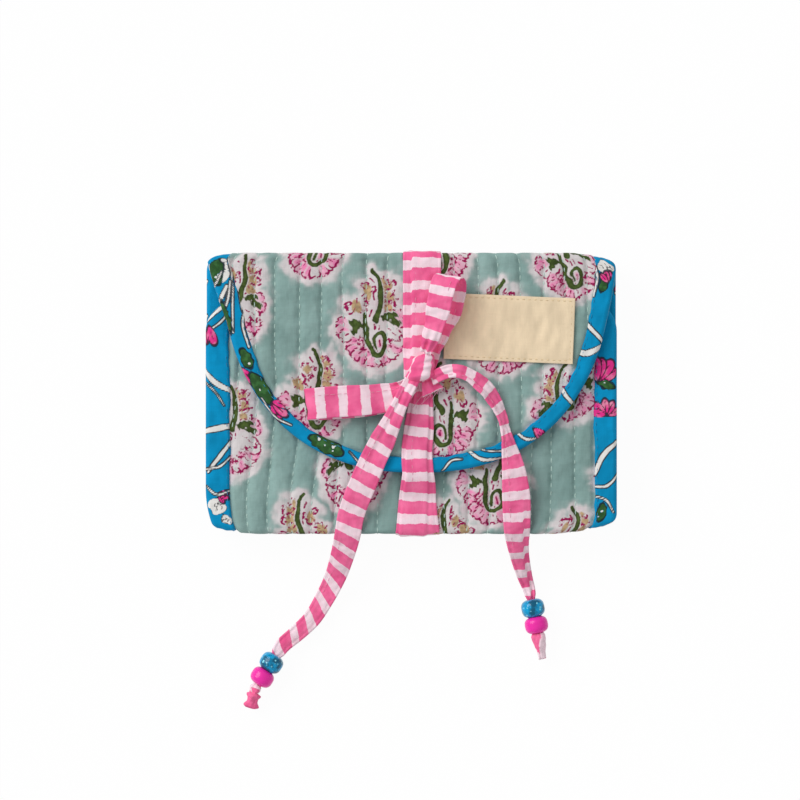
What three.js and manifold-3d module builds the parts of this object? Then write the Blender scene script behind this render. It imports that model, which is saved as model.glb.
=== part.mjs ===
// Quilted cotton jewelry organizer: a tri-fold case tied shut with a striped tie and beads.
// Millimetres, +X to the right, +Y towards the top fold, +Z out of the front. The back rests on z = 0.

import * as THREE from 'three';
import { mergeVertices } from 'three/addons/utils/BufferGeometryUtils.js';
import Module from 'manifold-3d';

const wasm = await Module();
wasm.setup();

// Driving dimensions of the closed case
const caseWidth = 169;
const caseHeight = 115;
const roomDepth = 11;
const seat = 0.3;

// Quilt, lining and binding
const quilt = 3.4;
const liningCloth = 0.6;
const grooveDepth = 1.1;
const grooveHalf = 1.3;
const crownDrop = 0.35;
const stitchPitch = 9.1;
const frontStitchShift = -4.8;
const flapStitchShift = -1.2;
const bindingCloth = 0.8;
const bindingInset = 0.1;
const bindingEase = 0.25;
const sideBindingWidth = 9.5;
const flapBindingWidth = 6.2;
const bendRadius = 5.5;
const leafCornerRadius = 13;
const foldRadius = 2.6;

// Flap and front leaf
const flapDepth = 90;
const flapSideInset = 4;
const flapShift = 2;
const flapRoundness = 2.3;
const flapFlareDepth = 13;
const leafEdgeFromTop = 19;
const leafUnderFlap = 0.4;

// Label
const labelWidth = 53;
const labelHeight = 27;
const labelCloth = 0.6;
const labelGap = 1.5;
const labelY = 26.6;
const labelTurn = -2.4;

// Tie
const tieWidth = 15.6;
const tieCloth = 1;
const tieX = 3.7;
const tieCornerTrim = 1.6;
const bandSunk = 0.1;
const lowerTieKnotWidth = 8.4;
const lowerTieHemWidth = 17;
const knotWidth = 10;
const knotLength = 11;
const knotHeight = 8;
const knotY = 10.6;
const loopWidth = 11.5;
const upLoopReach = 37;
const upLoopRise = 10;
const leftLoopReach = 47;
const leftLoopRise = 3.9;
const tailWidth = 10.5;
const tailCloth = 1.5;
const tailNeck = 2.5;
const leftTailFall = 70.5;
const rightTailFall = 51.9;

// Beads
const beadDiameter = 9;
const beadBlueLength = 6.9;
const beadPinkLength = 6.5;
const beadBore = 4;

// Pockets and zips
const pocketCloth = 0.6;
const pocketRoom = 1.5;
const zipMargin = 20.5;
const zipTapeWidth = 7;
const zipTapeCloth = 0.5;
const coilWidth = 4;
const coilHeight = 1.3;
const coilPitch = 3.2;
const sliderLength = 9;
const sliderWidth = 7;
const sliderWall = 0.9;
const bridgeWidth = 1.6;
const bridgeBar = 0.8;
const bridgeRoom = 1.4;
const pullLength = 10;
const pullWidth = 4.4;
const pullBar = 0.9;
const stopLength = 2.4;
const backZipY = 8;
const frontZipY = -14;
const backPocketMargin = 9.5;
const frontPocketMargin = 11.5;
const sliderFromEnd = 8;

// Ring roll
const rollDiameter = 7;
const rollMargin = 25.5;
const rollFromTop = 23.5;
const rollTabLength = 13;
const snapDiameter = 9;
const snapHeight = 1;

// Levels through the closed case, from the back outwards
const panel = quilt + seat + liningCloth;
const backInside = panel;
const leafInside = backInside + roomDepth;
const leafOutside = leafInside + panel;
const flapInside = leafOutside + leafUnderFlap;
const flapOutside = flapInside + panel;
const halfWidth = caseWidth / 2;
const halfHeight = caseHeight / 2;
const flapHalfWidth = halfWidth - flapSideInset;
const zipLength = caseWidth - 2 * zipMargin;
const rollLength = caseWidth - 2 * rollMargin;
const rollY = halfHeight - rollFromTop;

const radians = THREE.MathUtils.degToRad;
const colour = (hex, roughness = 0.9, metalness = 0) => ({ color: hex, roughness, metalness });
const sageCloth = colour(0x8fb0a6);
const blueCloth = colour(0x1f86b8);
const tieStripe = colour(0xe88fb0);
const liningCotton = colour(0xe6d9c0);
const labelCotton = colour(0xebd9b0);
const zipCotton = colour(0xd9c9a8);
const coilNylon = colour(0xc9b48c, 0.5);
const brass = colour(0xb08d57, 0.35, 1);

const organizer = new THREE.Group();

function add(name, geometry, finish, parent = organizer) {
  const mesh = new THREE.Mesh(geometry, new THREE.MeshStandardMaterial(finish));
  mesh.name = name;
  parent.add(mesh);
  return mesh;
}

// A closed solid from shared points and triangles, turned so that its faces point out
function solid(points, triangles) {
  const at = i => points[i];
  let volume = 0;
  for (const [a, b, c] of triangles) {
    volume += at(a).dot(new THREE.Vector3().crossVectors(at(b), at(c)));
  }
  const turned = volume < 0 ? triangles.map(([a, b, c]) => [a, c, b]) : triangles;
  const geometry = new THREE.BufferGeometry();
  geometry.setAttribute('position',
    new THREE.Float32BufferAttribute(points.flatMap(p => p.toArray()), 3));
  geometry.setIndex(turned.flat());
  return geometry;
}

// A section's triangles, wound the same way as the section itself
function capTriangles(section) {
  const found = THREE.ShapeUtils.triangulateShape(section, []);
  const way = THREE.ShapeUtils.area(section);
  return found.map(([a, b, c]) => (
    THREE.ShapeUtils.area([section[a], section[b], section[c]]) * way < 0 ? [a, c, b] : [a, b, c]));
}

// Rings of equal length joined side by side, with the first and last ring capped
function loft(rings, section) {
  const count = rings[0].length;
  const triangles = [];
  for (let r = 0; r + 1 < rings.length; r++) {
    for (let i = 0; i < count; i++) {
      const a = r * count + i;
      const b = r * count + (i + 1) % count;
      triangles.push([a, b, b + count], [a, b + count, a + count]);
    }
  }
  const last = (rings.length - 1) * count;
  for (const [a, b, c] of capTriangles(section)) {
    triangles.push([c, b, a], [a + last, b + last, c + last]);
  }
  return solid(rings.flat(), triangles);
}

// A section of [side, up] points carried along frames of {p, side, up}, with its own scale at each
function sweep(section, frames) {
  const outline = section.map(([s, u]) => new THREE.Vector2(s, u));
  const rings = frames.map(({ p, side, up, wide = 1, thick = 1 }) => section.map(([s, u]) =>
    p.clone().addScaledVector(side, s * wide).addScaledVector(up, u * thick)));
  return loft(rings, outline);
}

// A flat cloth's section: width across, cloth thickness, its long edges rounded off
function ribbonSection(width, cloth) {
  const w = width / 2;
  const t = cloth / 2;
  const r = Math.min(t, w) * 0.7;
  return [[-w + r, -t], [w - r, -t], [w, 0], [w - r, t], [-w + r, t], [-w, 0]];
}

// Frames along a curve. The up direction is carried by lean, a function of the share of the length
function framesAlong(curve, steps, lean, widths = () => 1, thicks = () => 1) {
  return Array.from({ length: steps + 1 }, (_, i) => {
    const t = i / steps;
    const p = curve.getPointAt(t);
    const tangent = curve.getTangentAt(t);
    const side = new THREE.Vector3().crossVectors(tangent, lean(t)).normalize();
    const up = new THREE.Vector3().crossVectors(side, tangent).normalize();
    return { p, side, up, wide: widths(t), thick: thicks(t) };
  });
}

const smoothCurve = points => new THREE.CatmullRomCurve3(
  points.map(p => new THREE.Vector3(...p)), false, 'centripetal');

// Reads a value between named stops: [[share, value], ...]
function between(stops) {
  return t => {
    const next = stops.findIndex(([at]) => at >= t);
    if (next <= 0) return stops[Math.max(next, 0)][1];
    const [t0, v0] = stops[next - 1];
    const [t1, v1] = stops[next];
    return v0 + (v1 - v0) * (t - t0) / (t1 - t0);
  };
}

function prism(outline, low, high) {
  const shape = new THREE.Shape(outline.map(([x, y]) => new THREE.Vector2(x, y)));
  const geometry = new THREE.ExtrudeGeometry(shape, { depth: high - low, bevelEnabled: false });
  return geometry.translate(0, 0, low);
}

function box(x0, x1, y0, y1, z0, z1) {
  return new THREE.BoxGeometry(x1 - x0, y1 - y0, z1 - z0)
    .translate((x0 + x1) / 2, (y0 + y1) / 2, (z0 + z1) / 2);
}

function toManifold(geometry) {
  const bare = geometry.clone();
  bare.deleteAttribute('normal');
  bare.deleteAttribute('uv');
  const merged = mergeVertices(bare, 1e-5);
  return new wasm.Manifold(new wasm.Mesh({
    numProp: 3,
    vertProperties: Float32Array.from(merged.attributes.position.array),
    triVerts: Uint32Array.from(merged.index.array),
  }));
}

function fromManifold(shape) {
  const { vertProperties, triVerts } = shape.getMesh();
  const geometry = new THREE.BufferGeometry();
  geometry.setAttribute('position', new THREE.Float32BufferAttribute(vertProperties, 3));
  geometry.setIndex([...triVerts]);
  return geometry;
}

const cut = (a, b) => fromManifold(toManifold(a).subtract(toManifold(b)));
const join = (...all) => fromManifold(all.map(toManifold).reduce((a, b) => a.add(b)));
const common = (a, b) => fromManifold(toManifold(a).intersect(toManifold(b)));

// Quilt: heights below the crest across the stitched channels, as [x, drop] columns
function quiltColumns(x0, x1, shift, crowned) {
  const columns = [];
  const first = Math.ceil((x0 - shift) / stitchPitch);
  const last = Math.floor((x1 - shift) / stitchPitch);
  const shoulder = crowned ? crownDrop : 0;
  for (let k = first; k <= last; k++) {
    const x = shift + k * stitchPitch;
    columns.push([x - grooveHalf, shoulder], [x, grooveDepth], [x + grooveHalf, shoulder]);
    if (crowned) columns.push([x + stitchPitch / 2, 0]);
  }
  const inside = columns.filter(([x]) => x > x0 + grooveHalf && x < x1 - grooveHalf);
  return [[x0, shoulder], ...inside, [x1, shoulder]];
}

// A quilted slab over a rectangle, its channels along Y. The lining's side of it is flat
function quiltSlab(columns, y0, y1, crest, outward) {
  const top = columns.map(([x, drop]) => [x, crest - outward * drop]);
  const under = crest - outward * quilt;
  const outline = [...top, [columns.at(-1)[0], under], [columns[0][0], under]];
  const section = outline.map(([x, z]) => new THREE.Vector2(x, z));
  const rings = [y0, y1].map(y => outline.map(([x, z]) => new THREE.Vector3(x, y, z)));
  return loft(rings, section);
}

// The binding's C-shaped section, as [distance in from the edge, depth below the outer face]
function bindingSection(width) {
  const low = bindingInset;
  const high = panel - bindingInset;
  const soft = 1.2;
  return [[width, low], [soft, low], [0, low + soft], [0, high - soft], [soft, high],
    [width, high], [width, high - bindingCloth], [bindingCloth, high - bindingCloth],
    [bindingCloth, low + bindingCloth], [width, low + bindingCloth]];
}

// A binding carried along an edge: each stop has the edge point, the way in and the way down
function binding(width, stops) {
  const section = bindingSection(width);
  const outline = section.map(([d, z]) => new THREE.Vector2(d, z));
  const rings = stops.map(({ p, into, down }) => section.map(([d, z]) =>
    p.clone().addScaledVector(into, d).addScaledVector(down, z)));
  return loft(rings, outline);
}

const slotFloor = bindingInset + bindingCloth + bindingEase;
const edgeInset = bindingCloth + seat;

// A quilted panel: full thickness inside the binding, and a thin edge that sits in its slot
function boundPanel(columns, fullOutline, edgeOutline, y0, y1, crest, outward) {
  const depth = d => crest - outward * d;
  const [low, high] = [depth(slotFloor), depth(panel - slotFloor)].sort((a, b) => a - b);
  const slab = quiltSlab(columns, y0, y1, crest, outward);
  const column = prism(fullOutline, Math.min(depth(quilt), crest) - 1,
    Math.max(depth(quilt), crest) + 1);
  return join(common(slab, column), prism(edgeOutline, low, high));
}

// The back: flat panel, two spines, lining, bindings and the tie's band round it
const spineTop = flapInside - seat;
const spineBottom = leafInside - seat;

// The U that the back's layers follow, at a depth in from the outer face, as frames in Y and Z
function backPath(depth, upTop, upBottom, steps = 5) {
  const r = bendRadius - depth;
  const frames = [];
  const put = (y, z, ny, nz) => frames.push({
    p: new THREE.Vector3(0, y, z), down: new THREE.Vector3(0, ny, nz) });
  put(halfHeight - depth, upTop, -1, 0);
  for (let i = 0; i <= steps; i++) {
    const a = i / steps * Math.PI / 2;
    put(halfHeight - bendRadius + r * Math.cos(a), bendRadius - r * Math.sin(a),
      -Math.cos(a), Math.sin(a));
  }
  for (let i = steps; i >= 0; i--) {
    const a = i / steps * Math.PI / 2;
    put(-halfHeight + bendRadius - r * Math.cos(a), bendRadius - r * Math.sin(a),
      Math.cos(a), Math.sin(a));
  }
  put(-halfHeight + depth, upBottom, 1, 0);
  return frames;
}

// A flat strip of cloth that follows the U between two depths and two places across
function wrapStrip(x0, x1, shallow, deep, upTop, upBottom) {
  const outer = backPath(shallow, upTop, upBottom);
  const inner = backPath(deep, upTop, upBottom);
  const outline = [...outer, ...inner.reverse()].map(({ p }) => [p.y, p.z]);
  const section = outline.map(([y, z]) => new THREE.Vector2(y, z));
  const rings = [x0, x1].map(x => outline.map(([y, z]) => new THREE.Vector3(x, y, z)));
  return loft(rings, section);
}

const fullHalf = halfWidth - sideBindingWidth - 1.1;
const edgeHalf = halfWidth - edgeInset;

function rectangle(x0, x1, y0, y1) {
  return [[x0, y0], [x1, y0], [x1, y1], [x0, y1]];
}

// The tie's band round the back: sunk into the quilt below, and clear of it outside the spines
const bandOut = seat + tieCloth;
function backBand(ease, cloth) {
  const stops = backPath(0, spineTop + ease, spineBottom - tieCornerTrim + ease);
  const half = tieWidth / 2 + ease;
  const corners = [[-half, 0], [half, 0], [half, 1], [-half, 1]];
  const rings = stops.map(({ p, down }) => {
    const risen = THREE.MathUtils.clamp(p.z / bendRadius, 0, 1);
    const out = risen * (bandOut + bandSunk) - bandSunk;
    return corners.map(([x, through]) => p.clone()
      .addScaledVector(down, through ? cloth - out : -out - ease).setX(tieX + x));
  });
  return loft(rings, corners.map(([x, y]) => new THREE.Vector2(x, y)));
}
const bandGroove = backBand(seat, tieCloth + seat);

const backFlatHalf = halfHeight - bendRadius;
const backColumns = quiltColumns(-fullHalf, fullHalf, frontStitchShift, false);
const backPanel = boundPanel(backColumns, rectangle(-fullHalf, fullHalf, -backFlatHalf, backFlatHalf),
  rectangle(-edgeHalf, edgeHalf, -backFlatHalf, backFlatHalf), -backFlatHalf, backFlatHalf, 0, -1);
add('back_cover', cut(backPanel, bandGroove), sageCloth);

// A spine: a quarter bend and a wall, quilted across like the panels, thin where the binding holds it
function spine(side, top) {
  const steps = 4;
  const arc = depth => {
    const r = bendRadius - depth;
    const points = [[halfHeight - depth, top]];
    for (let i = 0; i <= steps; i++) {
      const a = i / steps * Math.PI / 2;
      const start = i === steps ? seat : 0;
      points.push([halfHeight - bendRadius + start + r * Math.cos(a),
        bendRadius - r * Math.sin(a)]);
    }
    return points;
  };
  const ring = (x, outer, inner) => [...arc(outer), ...arc(inner).reverse()]
    .map(([y, z]) => new THREE.Vector3(x, side * y, z));
  const thin = [slotFloor, panel - slotFloor];
  const columns = [[-edgeHalf, ...thin], [-fullHalf - 0.5, ...thin],
    ...backColumns.map(([x, drop]) => [x, drop, quilt]),
    [fullHalf + 0.5, ...thin], [edgeHalf, ...thin]];
  const rings = columns.map(([x, outer, inner]) => ring(x, outer, inner));
  return loft(rings, rings[0].map(p => new THREE.Vector2(p.y, p.z)));
}

add('top_spine', cut(spine(1, spineTop), bandGroove), sageCloth);
add('bottom_spine', cut(spine(-1, spineBottom), bandGroove), sageCloth);
add('tie_back_band', backBand(0, tieCloth), tieStripe);

const liningHalf = halfWidth - sideBindingWidth - seat;
add('back_lining', wrapStrip(-liningHalf, liningHalf, quilt + seat, panel,
  spineTop, spineBottom), liningCotton);

for (const [name, side] of [['left', -1], ['right', 1]]) {
  const into = new THREE.Vector3(-side, 0, 0);
  const stops = backPath(0, spineTop, spineBottom).map(({ p, down }) => (
    { p: p.setX(side * halfWidth), into, down }));
  add(`back_binding_${name}`, binding(sideBindingWidth, stops), blueCloth);
}

// The front leaf: folded up from the bottom edge, bound down its sides and along its free edge
const leafTop = halfHeight - leafEdgeFromTop;

function leafEdge(inset, steps = 6) {
  const r = Math.max(leafCornerRadius - inset, 0.5);
  const cx = halfWidth - leafCornerRadius;
  const cy = leafTop - leafCornerRadius;
  const stops = [];
  const put = (x, y, nx, ny) => stops.push({ x, y, nx, ny });
  put(halfWidth - inset, -halfHeight, -1, 0);
  for (let i = 0; i <= steps; i++) {
    const a = i / steps * Math.PI / 2;
    put(cx + r * Math.cos(a), cy + r * Math.sin(a), -Math.cos(a), -Math.sin(a));
  }
  const mirrored = stops.map(s => ({ ...s, x: -s.x, nx: -s.nx })).reverse();
  return [...stops, ...mirrored];
}

// What a fold's rounding takes off the outer edge of a panel that hangs from it
function foldCut(y, z, side, xHalf) {
  const r = foldRadius;
  const outside = 0.5;
  const steps = 4;
  const outline = [[outside, -r], [outside, outside], [-r, outside]];
  for (let i = 0; i <= steps; i++) {
    const a = i / steps * Math.PI / 2;
    outline.push([-r + r * Math.sin(a), -r + r * Math.cos(a)]);
  }
  const section = outline.map(([a, b]) => new THREE.Vector2(y + side * a, z + b));
  const rings = [-xHalf, xHalf].map(x => section.map(p => new THREE.Vector3(x, p.x, p.y)));
  return loft(rings, section);
}

const flat = stops => stops.map(({ x, y }) => [x, y]);
const leafColumns = quiltColumns(-fullHalf, fullHalf, frontStitchShift, true);
const fullInset = sideBindingWidth + 1.1;
const leafPanel = boundPanel(leafColumns, flat(leafEdge(fullInset)), flat(leafEdge(edgeInset)),
  -halfHeight, leafTop, leafOutside, 1);
add('front_cover', cut(leafPanel, foldCut(-halfHeight, leafOutside, -1, halfWidth)), sageCloth);
add('front_lining', prism(flat(leafEdge(sideBindingWidth + seat)), leafInside,
  leafInside + liningCloth), liningCotton);

const downward = new THREE.Vector3(0, 0, -1);
const leafBindingStops = leafEdge(0).map(({ x, y, nx, ny }) => ({
  p: new THREE.Vector3(x, y, leafOutside), into: new THREE.Vector3(nx, ny, 0), down: downward }));
add('front_binding', binding(sideBindingWidth, leafBindingStops), blueCloth);

// The flap: half of a superellipse hung from the top fold, flared to the full width at the fold
function flapPoint(angle) {
  const power = 2 / flapRoundness;
  const side = Math.sign(Math.cos(angle));
  const depth = flapDepth * Math.abs(Math.sin(angle)) ** power;
  const flare = halfWidth - flapHalfWidth - side * flapShift;
  const out = flare * Math.max(0, 1 - depth / flapFlareDepth) ** 2;
  return new THREE.Vector2(
    flapShift + side * flapHalfWidth * Math.abs(Math.cos(angle)) ** power + side * out,
    halfHeight - depth);
}

function flapEdge(inset, steps = 44) {
  const step = Math.PI / steps;
  const nearFold = [0, 0.06, 0.2, 0.45];
  const half = [...nearFold.map(share => share * step),
    ...Array.from({ length: steps / 2 }, (_, i) => (i + 1) * step)];
  const angles = [...half, ...half.slice(0, -1).reverse().map(a => Math.PI - a)];
  return angles.map(a => {
    const at = flapPoint(a);
    const tangent = flapPoint(Math.min(a + 1e-4, Math.PI)).sub(flapPoint(Math.max(a - 1e-4, 0)));
    const normal = new THREE.Vector2(tangent.y, -tangent.x).normalize();
    normal.y *= Math.min(1, (halfHeight - at.y) / flapFlareDepth);
    normal.normalize();
    const p = at.addScaledVector(normal, inset);
    return { x: p.x, y: p.y, nx: normal.x, ny: normal.y };
  });
}

const flapColumns = quiltColumns(-halfWidth, halfWidth, flapStitchShift, true);
const flapPanel = boundPanel(flapColumns, flat(flapEdge(flapBindingWidth + 1.1)),
  flat(flapEdge(edgeInset)), halfHeight - flapDepth, halfHeight, flapOutside, 1);
add('flap_cover', cut(flapPanel, foldCut(halfHeight, flapOutside, 1, caseWidth)), sageCloth);
add('flap_lining', prism(flat(flapEdge(flapBindingWidth + seat)), flapInside,
  flapInside + liningCloth), liningCotton);
const flapBindingStops = flapEdge(0).map(({ x, y, nx, ny }) => ({
  p: new THREE.Vector3(x, y, flapOutside), into: new THREE.Vector3(nx, ny, 0), down: downward }));
add('flap_binding', binding(flapBindingWidth, flapBindingStops), blueCloth);

// The bare cloth label
const label = add('label', new THREE.BoxGeometry(labelWidth, labelHeight, labelCloth), labelCotton);
const labelX = tieX + tieWidth / 2 + labelGap + labelWidth / 2;
label.position.set(labelX, labelY, flapOutside + seat + labelCloth / 2);
label.rotation.z = radians(labelTurn);

// The tie's bands over the flap
const bandLevel = flapOutside + seat + tieCloth / 2;
const upwards = () => new THREE.Vector3(0, 0, 1);
const knotTop = knotY + knotLength / 2;
const knotBottom = knotY - knotLength / 2;
const upperBandCurve = new THREE.LineCurve3(
  new THREE.Vector3(tieX, halfHeight - tieCornerTrim, bandLevel),
  new THREE.Vector3(tieX, knotTop + seat, bandLevel));
add('tie_upper_band', sweep(ribbonSection(tieWidth, tieCloth),
  framesAlong(upperBandCurve, 2, upwards)), tieStripe);

const flapTip = halfHeight - flapDepth;
const leafBandLevel = leafOutside + seat + tieCloth / 2;
const lowerBandCurve = smoothCurve([
  [tieX, knotBottom - seat, bandLevel], [tieX - 0.4, -14, bandLevel], [tieX - 1, -24, bandLevel],
  [tieX - 1.3, flapTip - 1.4, bandLevel], [tieX - 1.6, flapTip - 6, bandLevel - 2.4],
  [tieX - 1.8, flapTip - 10, leafBandLevel + 0.2], [tieX - 2, flapTip - 15, leafBandLevel],
  [tieX - 2, -halfHeight + tieCornerTrim, leafBandLevel]]);
const lowerBandWidths = between([[0, lowerTieKnotWidth], [0.25, 11.5], [1, lowerTieHemWidth]]);
add('tie_lower_band', sweep(ribbonSection(1, tieCloth),
  framesAlong(lowerBandCurve, 16, upwards, lowerBandWidths)), tieStripe);

// The knot: a squared ball with a hollow either side where the cloth turns under
function knotGeometry() {
  const rows = 10;
  const around = 18;
  const soften = 0.72;
  const signedPower = (v, n) => Math.sign(v) * Math.abs(v) ** n;
  const rings = [];
  for (let r = 1; r < rows; r++) {
    const latitude = (r / rows - 0.5) * Math.PI;
    const waist = Math.cos(latitude) ** soften;
    rings.push(Array.from({ length: around }, (_, i) => {
      const a = i / around * Math.PI * 2;
      const pinch = 1 - 0.1 * Math.cos(2 * a) ** 2 * Math.cos(latitude);
      return new THREE.Vector3(
        tieX + knotWidth / 2 * waist * signedPower(Math.cos(a), soften) * pinch,
        knotY + knotLength / 2 * signedPower(Math.sin(latitude), soften),
        flapOutside + seat + knotHeight / 2
          + knotHeight / 2 * waist * signedPower(Math.sin(a), soften) * pinch);
    }));
  }
  return loft(rings, rings[0].map(p => new THREE.Vector2(p.x, p.z)));
}
add('tie_knot', knotGeometry(), tieStripe);

// Loops of the bow: flat cloth that leaves the knot, turns back on itself and returns to it.
// A stop is [across, away] in shares of the loop's reach from the knot, and its rise as a share
const loopLow = bandLevel + tieCloth + seat;
const loopStops = (reach, rise, stops) => smoothCurve(stops.map(([x, y, z]) => (
  [tieX + x * reach, knotY + y * reach, loopLow + z * rise])));
const upLoopCurve = loopStops(upLoopReach, upLoopRise, [
  [0.024, 0.165, 0.46], [0.078, 0.362, 0.8], [0.132, 0.632, 1], [0.186, 0.865, 1],
  [0.241, 0.978, 0.8], [0.295, 1, 0.5], [0.343, 0.941, 0.27], [0.316, 0.686, 0.19],
  [0.214, 0.389, 0.17], [0.132, 0.17, 0.18]]);
// The upright of a loop turns with its path, so that the cloth keeps one face out
function loopLean(curve, across) {
  return t => new THREE.Vector3().crossVectors(across, curve.getTangentAt(t));
}
const upLoopAcross = new THREE.Vector3(0.96, -0.2, 0.18).normalize();
const leftLoopAcross = new THREE.Vector3(-0.12, 1, 0).normalize();
const pinchedLoop = between([[0, 0.52], [0.14, 0.78], [0.3, 1], [0.72, 1], [0.88, 0.74], [1, 0.5]]);
add('tie_loop_up', sweep(ribbonSection(loopWidth, tieCloth),
  framesAlong(upLoopCurve, 26, loopLean(upLoopCurve, upLoopAcross), pinchedLoop)), tieStripe);

const leftLoopCurve = loopStops(leftLoopReach, leftLoopRise, [
  [-0.113, -0.115, 0.54], [-0.206, -0.209, 0.54], [-0.334, -0.255, 0.67], [-0.504, -0.274, 0.92],
  [-0.738, -0.296, 1], [-0.938, -0.313, 0.85], [-1, -0.319, 0.46], [-0.938, -0.323, 0.08],
  [-0.738, -0.315, -0.03], [-0.504, -0.298, -0.03], [-0.334, -0.277, 0], [-0.206, -0.221, 0.05],
  [-0.113, -0.128, 0.1]]);
add('tie_loop_left', sweep(ribbonSection(loopWidth, tieCloth),
  framesAlong(leftLoopCurve, 26, loopLean(leftLoopCurve, leftLoopAcross), pinchedLoop)), tieStripe);

// The short frayed end below the knot
const stubLevel = loopLow + 0.5;
const stubPlan = [[-0.05, -0.04], [0.77, -0.27], [0.57, -0.57], [0.09, -0.85]];
add('tie_stub', prism(stubPlan.map(([x, y]) => (
  [tieX + x * knotWidth, knotBottom - 0.3 + y * knotWidth])),
stubLevel, stubLevel + tieCloth), tieStripe);

// Tails: flat cloth that narrows to a neck through two beads and ends in a small knot
function tail(name, points, steps, beadAt, endAt) {
  const curve = smoothCurve(points);
  const length = curve.getLength();
  const share = mm => mm / length;
  const neckFrom = share(beadAt - beadBlueLength / 2 - 3);
  const knotAt = share(endAt);
  const neck = tailNeck / tailWidth;
  const wide = between([[0, 0.55], [0.1, 0.95], [neckFrom - share(22), 1], [neckFrom, neck],
    [knotAt - share(3), neck], [knotAt, 0.62], [knotAt + share(2.6), 0.5], [1, 0.42]]);
  const thick = between([[0, 1], [neckFrom - share(22), 1], [neckFrom, tailNeck / tailCloth],
    [knotAt - share(3), tailNeck / tailCloth], [knotAt, 4], [knotAt + share(2.6), 2.2], [1, 1.2]]);
  add(name, sweep(ribbonSection(tailWidth, tailCloth),
    framesAlong(curve, steps, upwards, wide, thick)), tieStripe);
  return curve;
}

// A barrel bead threaded on a tail at a distance along it
function bead(name, curve, at, length, finish) {
  const r = beadDiameter / 2;
  const bore = beadBore / 2;
  const soft = 1.5;
  const profile = [[bore, -length / 2 + 0.4], [bore + 0.4, -length / 2], [r - soft, -length / 2],
    [r - 0.35, -length / 2 + soft], [r, 0], [r - 0.35, length / 2 - soft], [r - soft, length / 2],
    [bore + 0.4, length / 2], [bore, length / 2 - 0.4], [bore, -length / 2 + 0.4]];
  const geometry = new THREE.LatheGeometry(profile.map(([x, y]) => new THREE.Vector2(x, y)), 20);
  const mesh = add(name, geometry, finish);
  const t = at / curve.getLength();
  mesh.position.copy(curve.getPointAt(t));
  mesh.quaternion.setFromUnitVectors(new THREE.Vector3(0, 1, 0), curve.getTangentAt(t));
  return { at: mesh.position.clone(), axis: curve.getTangentAt(t) };
}

const tailLevel = flapOutside + seat + tailCloth / 2;
const beadLevel = beadDiameter / 2 + 0.3;
const hem = -halfHeight;

// A tail's stops, [x, y, z], from what it passes: shares of the knot's size, shares of the way from
// the knot to the flap's tip, shares of the way from the tip to the hem, then of its fall from the hem
const byKnot = stops => stops.map(([x, y, z]) => (
  [tieX + x * knotWidth, knotY - y * knotLength, flapOutside + z * knotHeight]));
const overFlap = stops => stops.map(([x, y, z]) => {
  const way = knotY - flapTip;
  return [tieX + x * way, knotY - y * way, flapOutside + z];
});
const overLeaf = (fall, stops) => stops.map(([x, y, z]) => (
  [tieX + x * fall, flapTip - y * (flapTip - hem), leafOutside + z]));
const pastHem = (fall, stops) => stops.map(([x, y, z]) => [tieX + x * fall, hem - y * fall, z]);
const leftTailPoints = [
  ...byKnot([[-0.52, 0.382, 0.788], [-0.73, 0.927, 0.913]]),
  ...overFlap([[-0.225, 0.367, 7], [-0.29, 0.517, 5.4], [-0.374, 0.691, 2.9],
    [-0.462, 0.872, 1.55], [-0.538, 1.049, 1.05]]),
  ...overLeaf(leftTailFall, [[-0.376, 0.396, 4.55], [-0.413, 0.7, 2.35]]),
  ...pastHem(leftTailFall, [[-0.435, 0.014, leafOutside + 0.15],
    [-0.464, 0.128, leafOutside * 0.694], [-0.506, 0.255, leafOutside * 0.388],
    [-0.569, 0.382, leafOutside * 0.214], [-0.643, 0.501, 3.4], [-0.736, 0.591, 3.8],
    [-0.81, 0.654, beadLevel], [-0.844, 0.702, beadLevel], [-0.881, 0.76, beadLevel],
    [-0.935, 0.845, beadLevel], [-0.969, 0.899, beadLevel], [-0.991, 0.949, beadLevel - 0.4],
    [-1, 1, beadLevel - 1]])];
const rightTailPoints = [
  ...byKnot([[0.6, 0.327, 0.638], [1.17, 0.127, 0.838]]),
  ...overFlap([[0.415, 0.056, 6.7], [0.568, 0.162, 5.5], [0.689, 0.311, 3.9],
    [0.768, 0.492, 2.3], [0.814, 0.696, 1.45], [0.856, 0.886, 1.05], [0.884, 1.081, 1.05]]),
  ...overLeaf(rightTailFall, [[0.746, 0.5, 4.3], [0.75, 0.844, 2.15]]),
  ...pastHem(rightTailFall, [[0.757, 0.06, leafOutside * 0.898],
    [0.78, 0.202, leafOutside * 0.582], [0.819, 0.349, leafOutside * 0.337],
    [0.85, 0.441, beadLevel], [0.865, 0.511, beadLevel], [0.882, 0.595, beadLevel],
    [0.909, 0.726, beadLevel], [0.927, 0.811, beadLevel], [0.938, 0.896, beadLevel - 0.4],
    [0.958, 1, beadLevel - 1.2]])];

const distanceTo = (curve, y) => {
  let best = 0;
  for (let s = 0; s <= 1; s += 0.002) {
    if (Math.abs(curve.getPointAt(s).y - y) < Math.abs(curve.getPointAt(best).y - y)) best = s;
  }
  return best * curve.getLength();
};
const blueBead = colour(0x1a8abf, 0.15);
const pinkBead = colour(0xfa3caa, 0.25);

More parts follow.
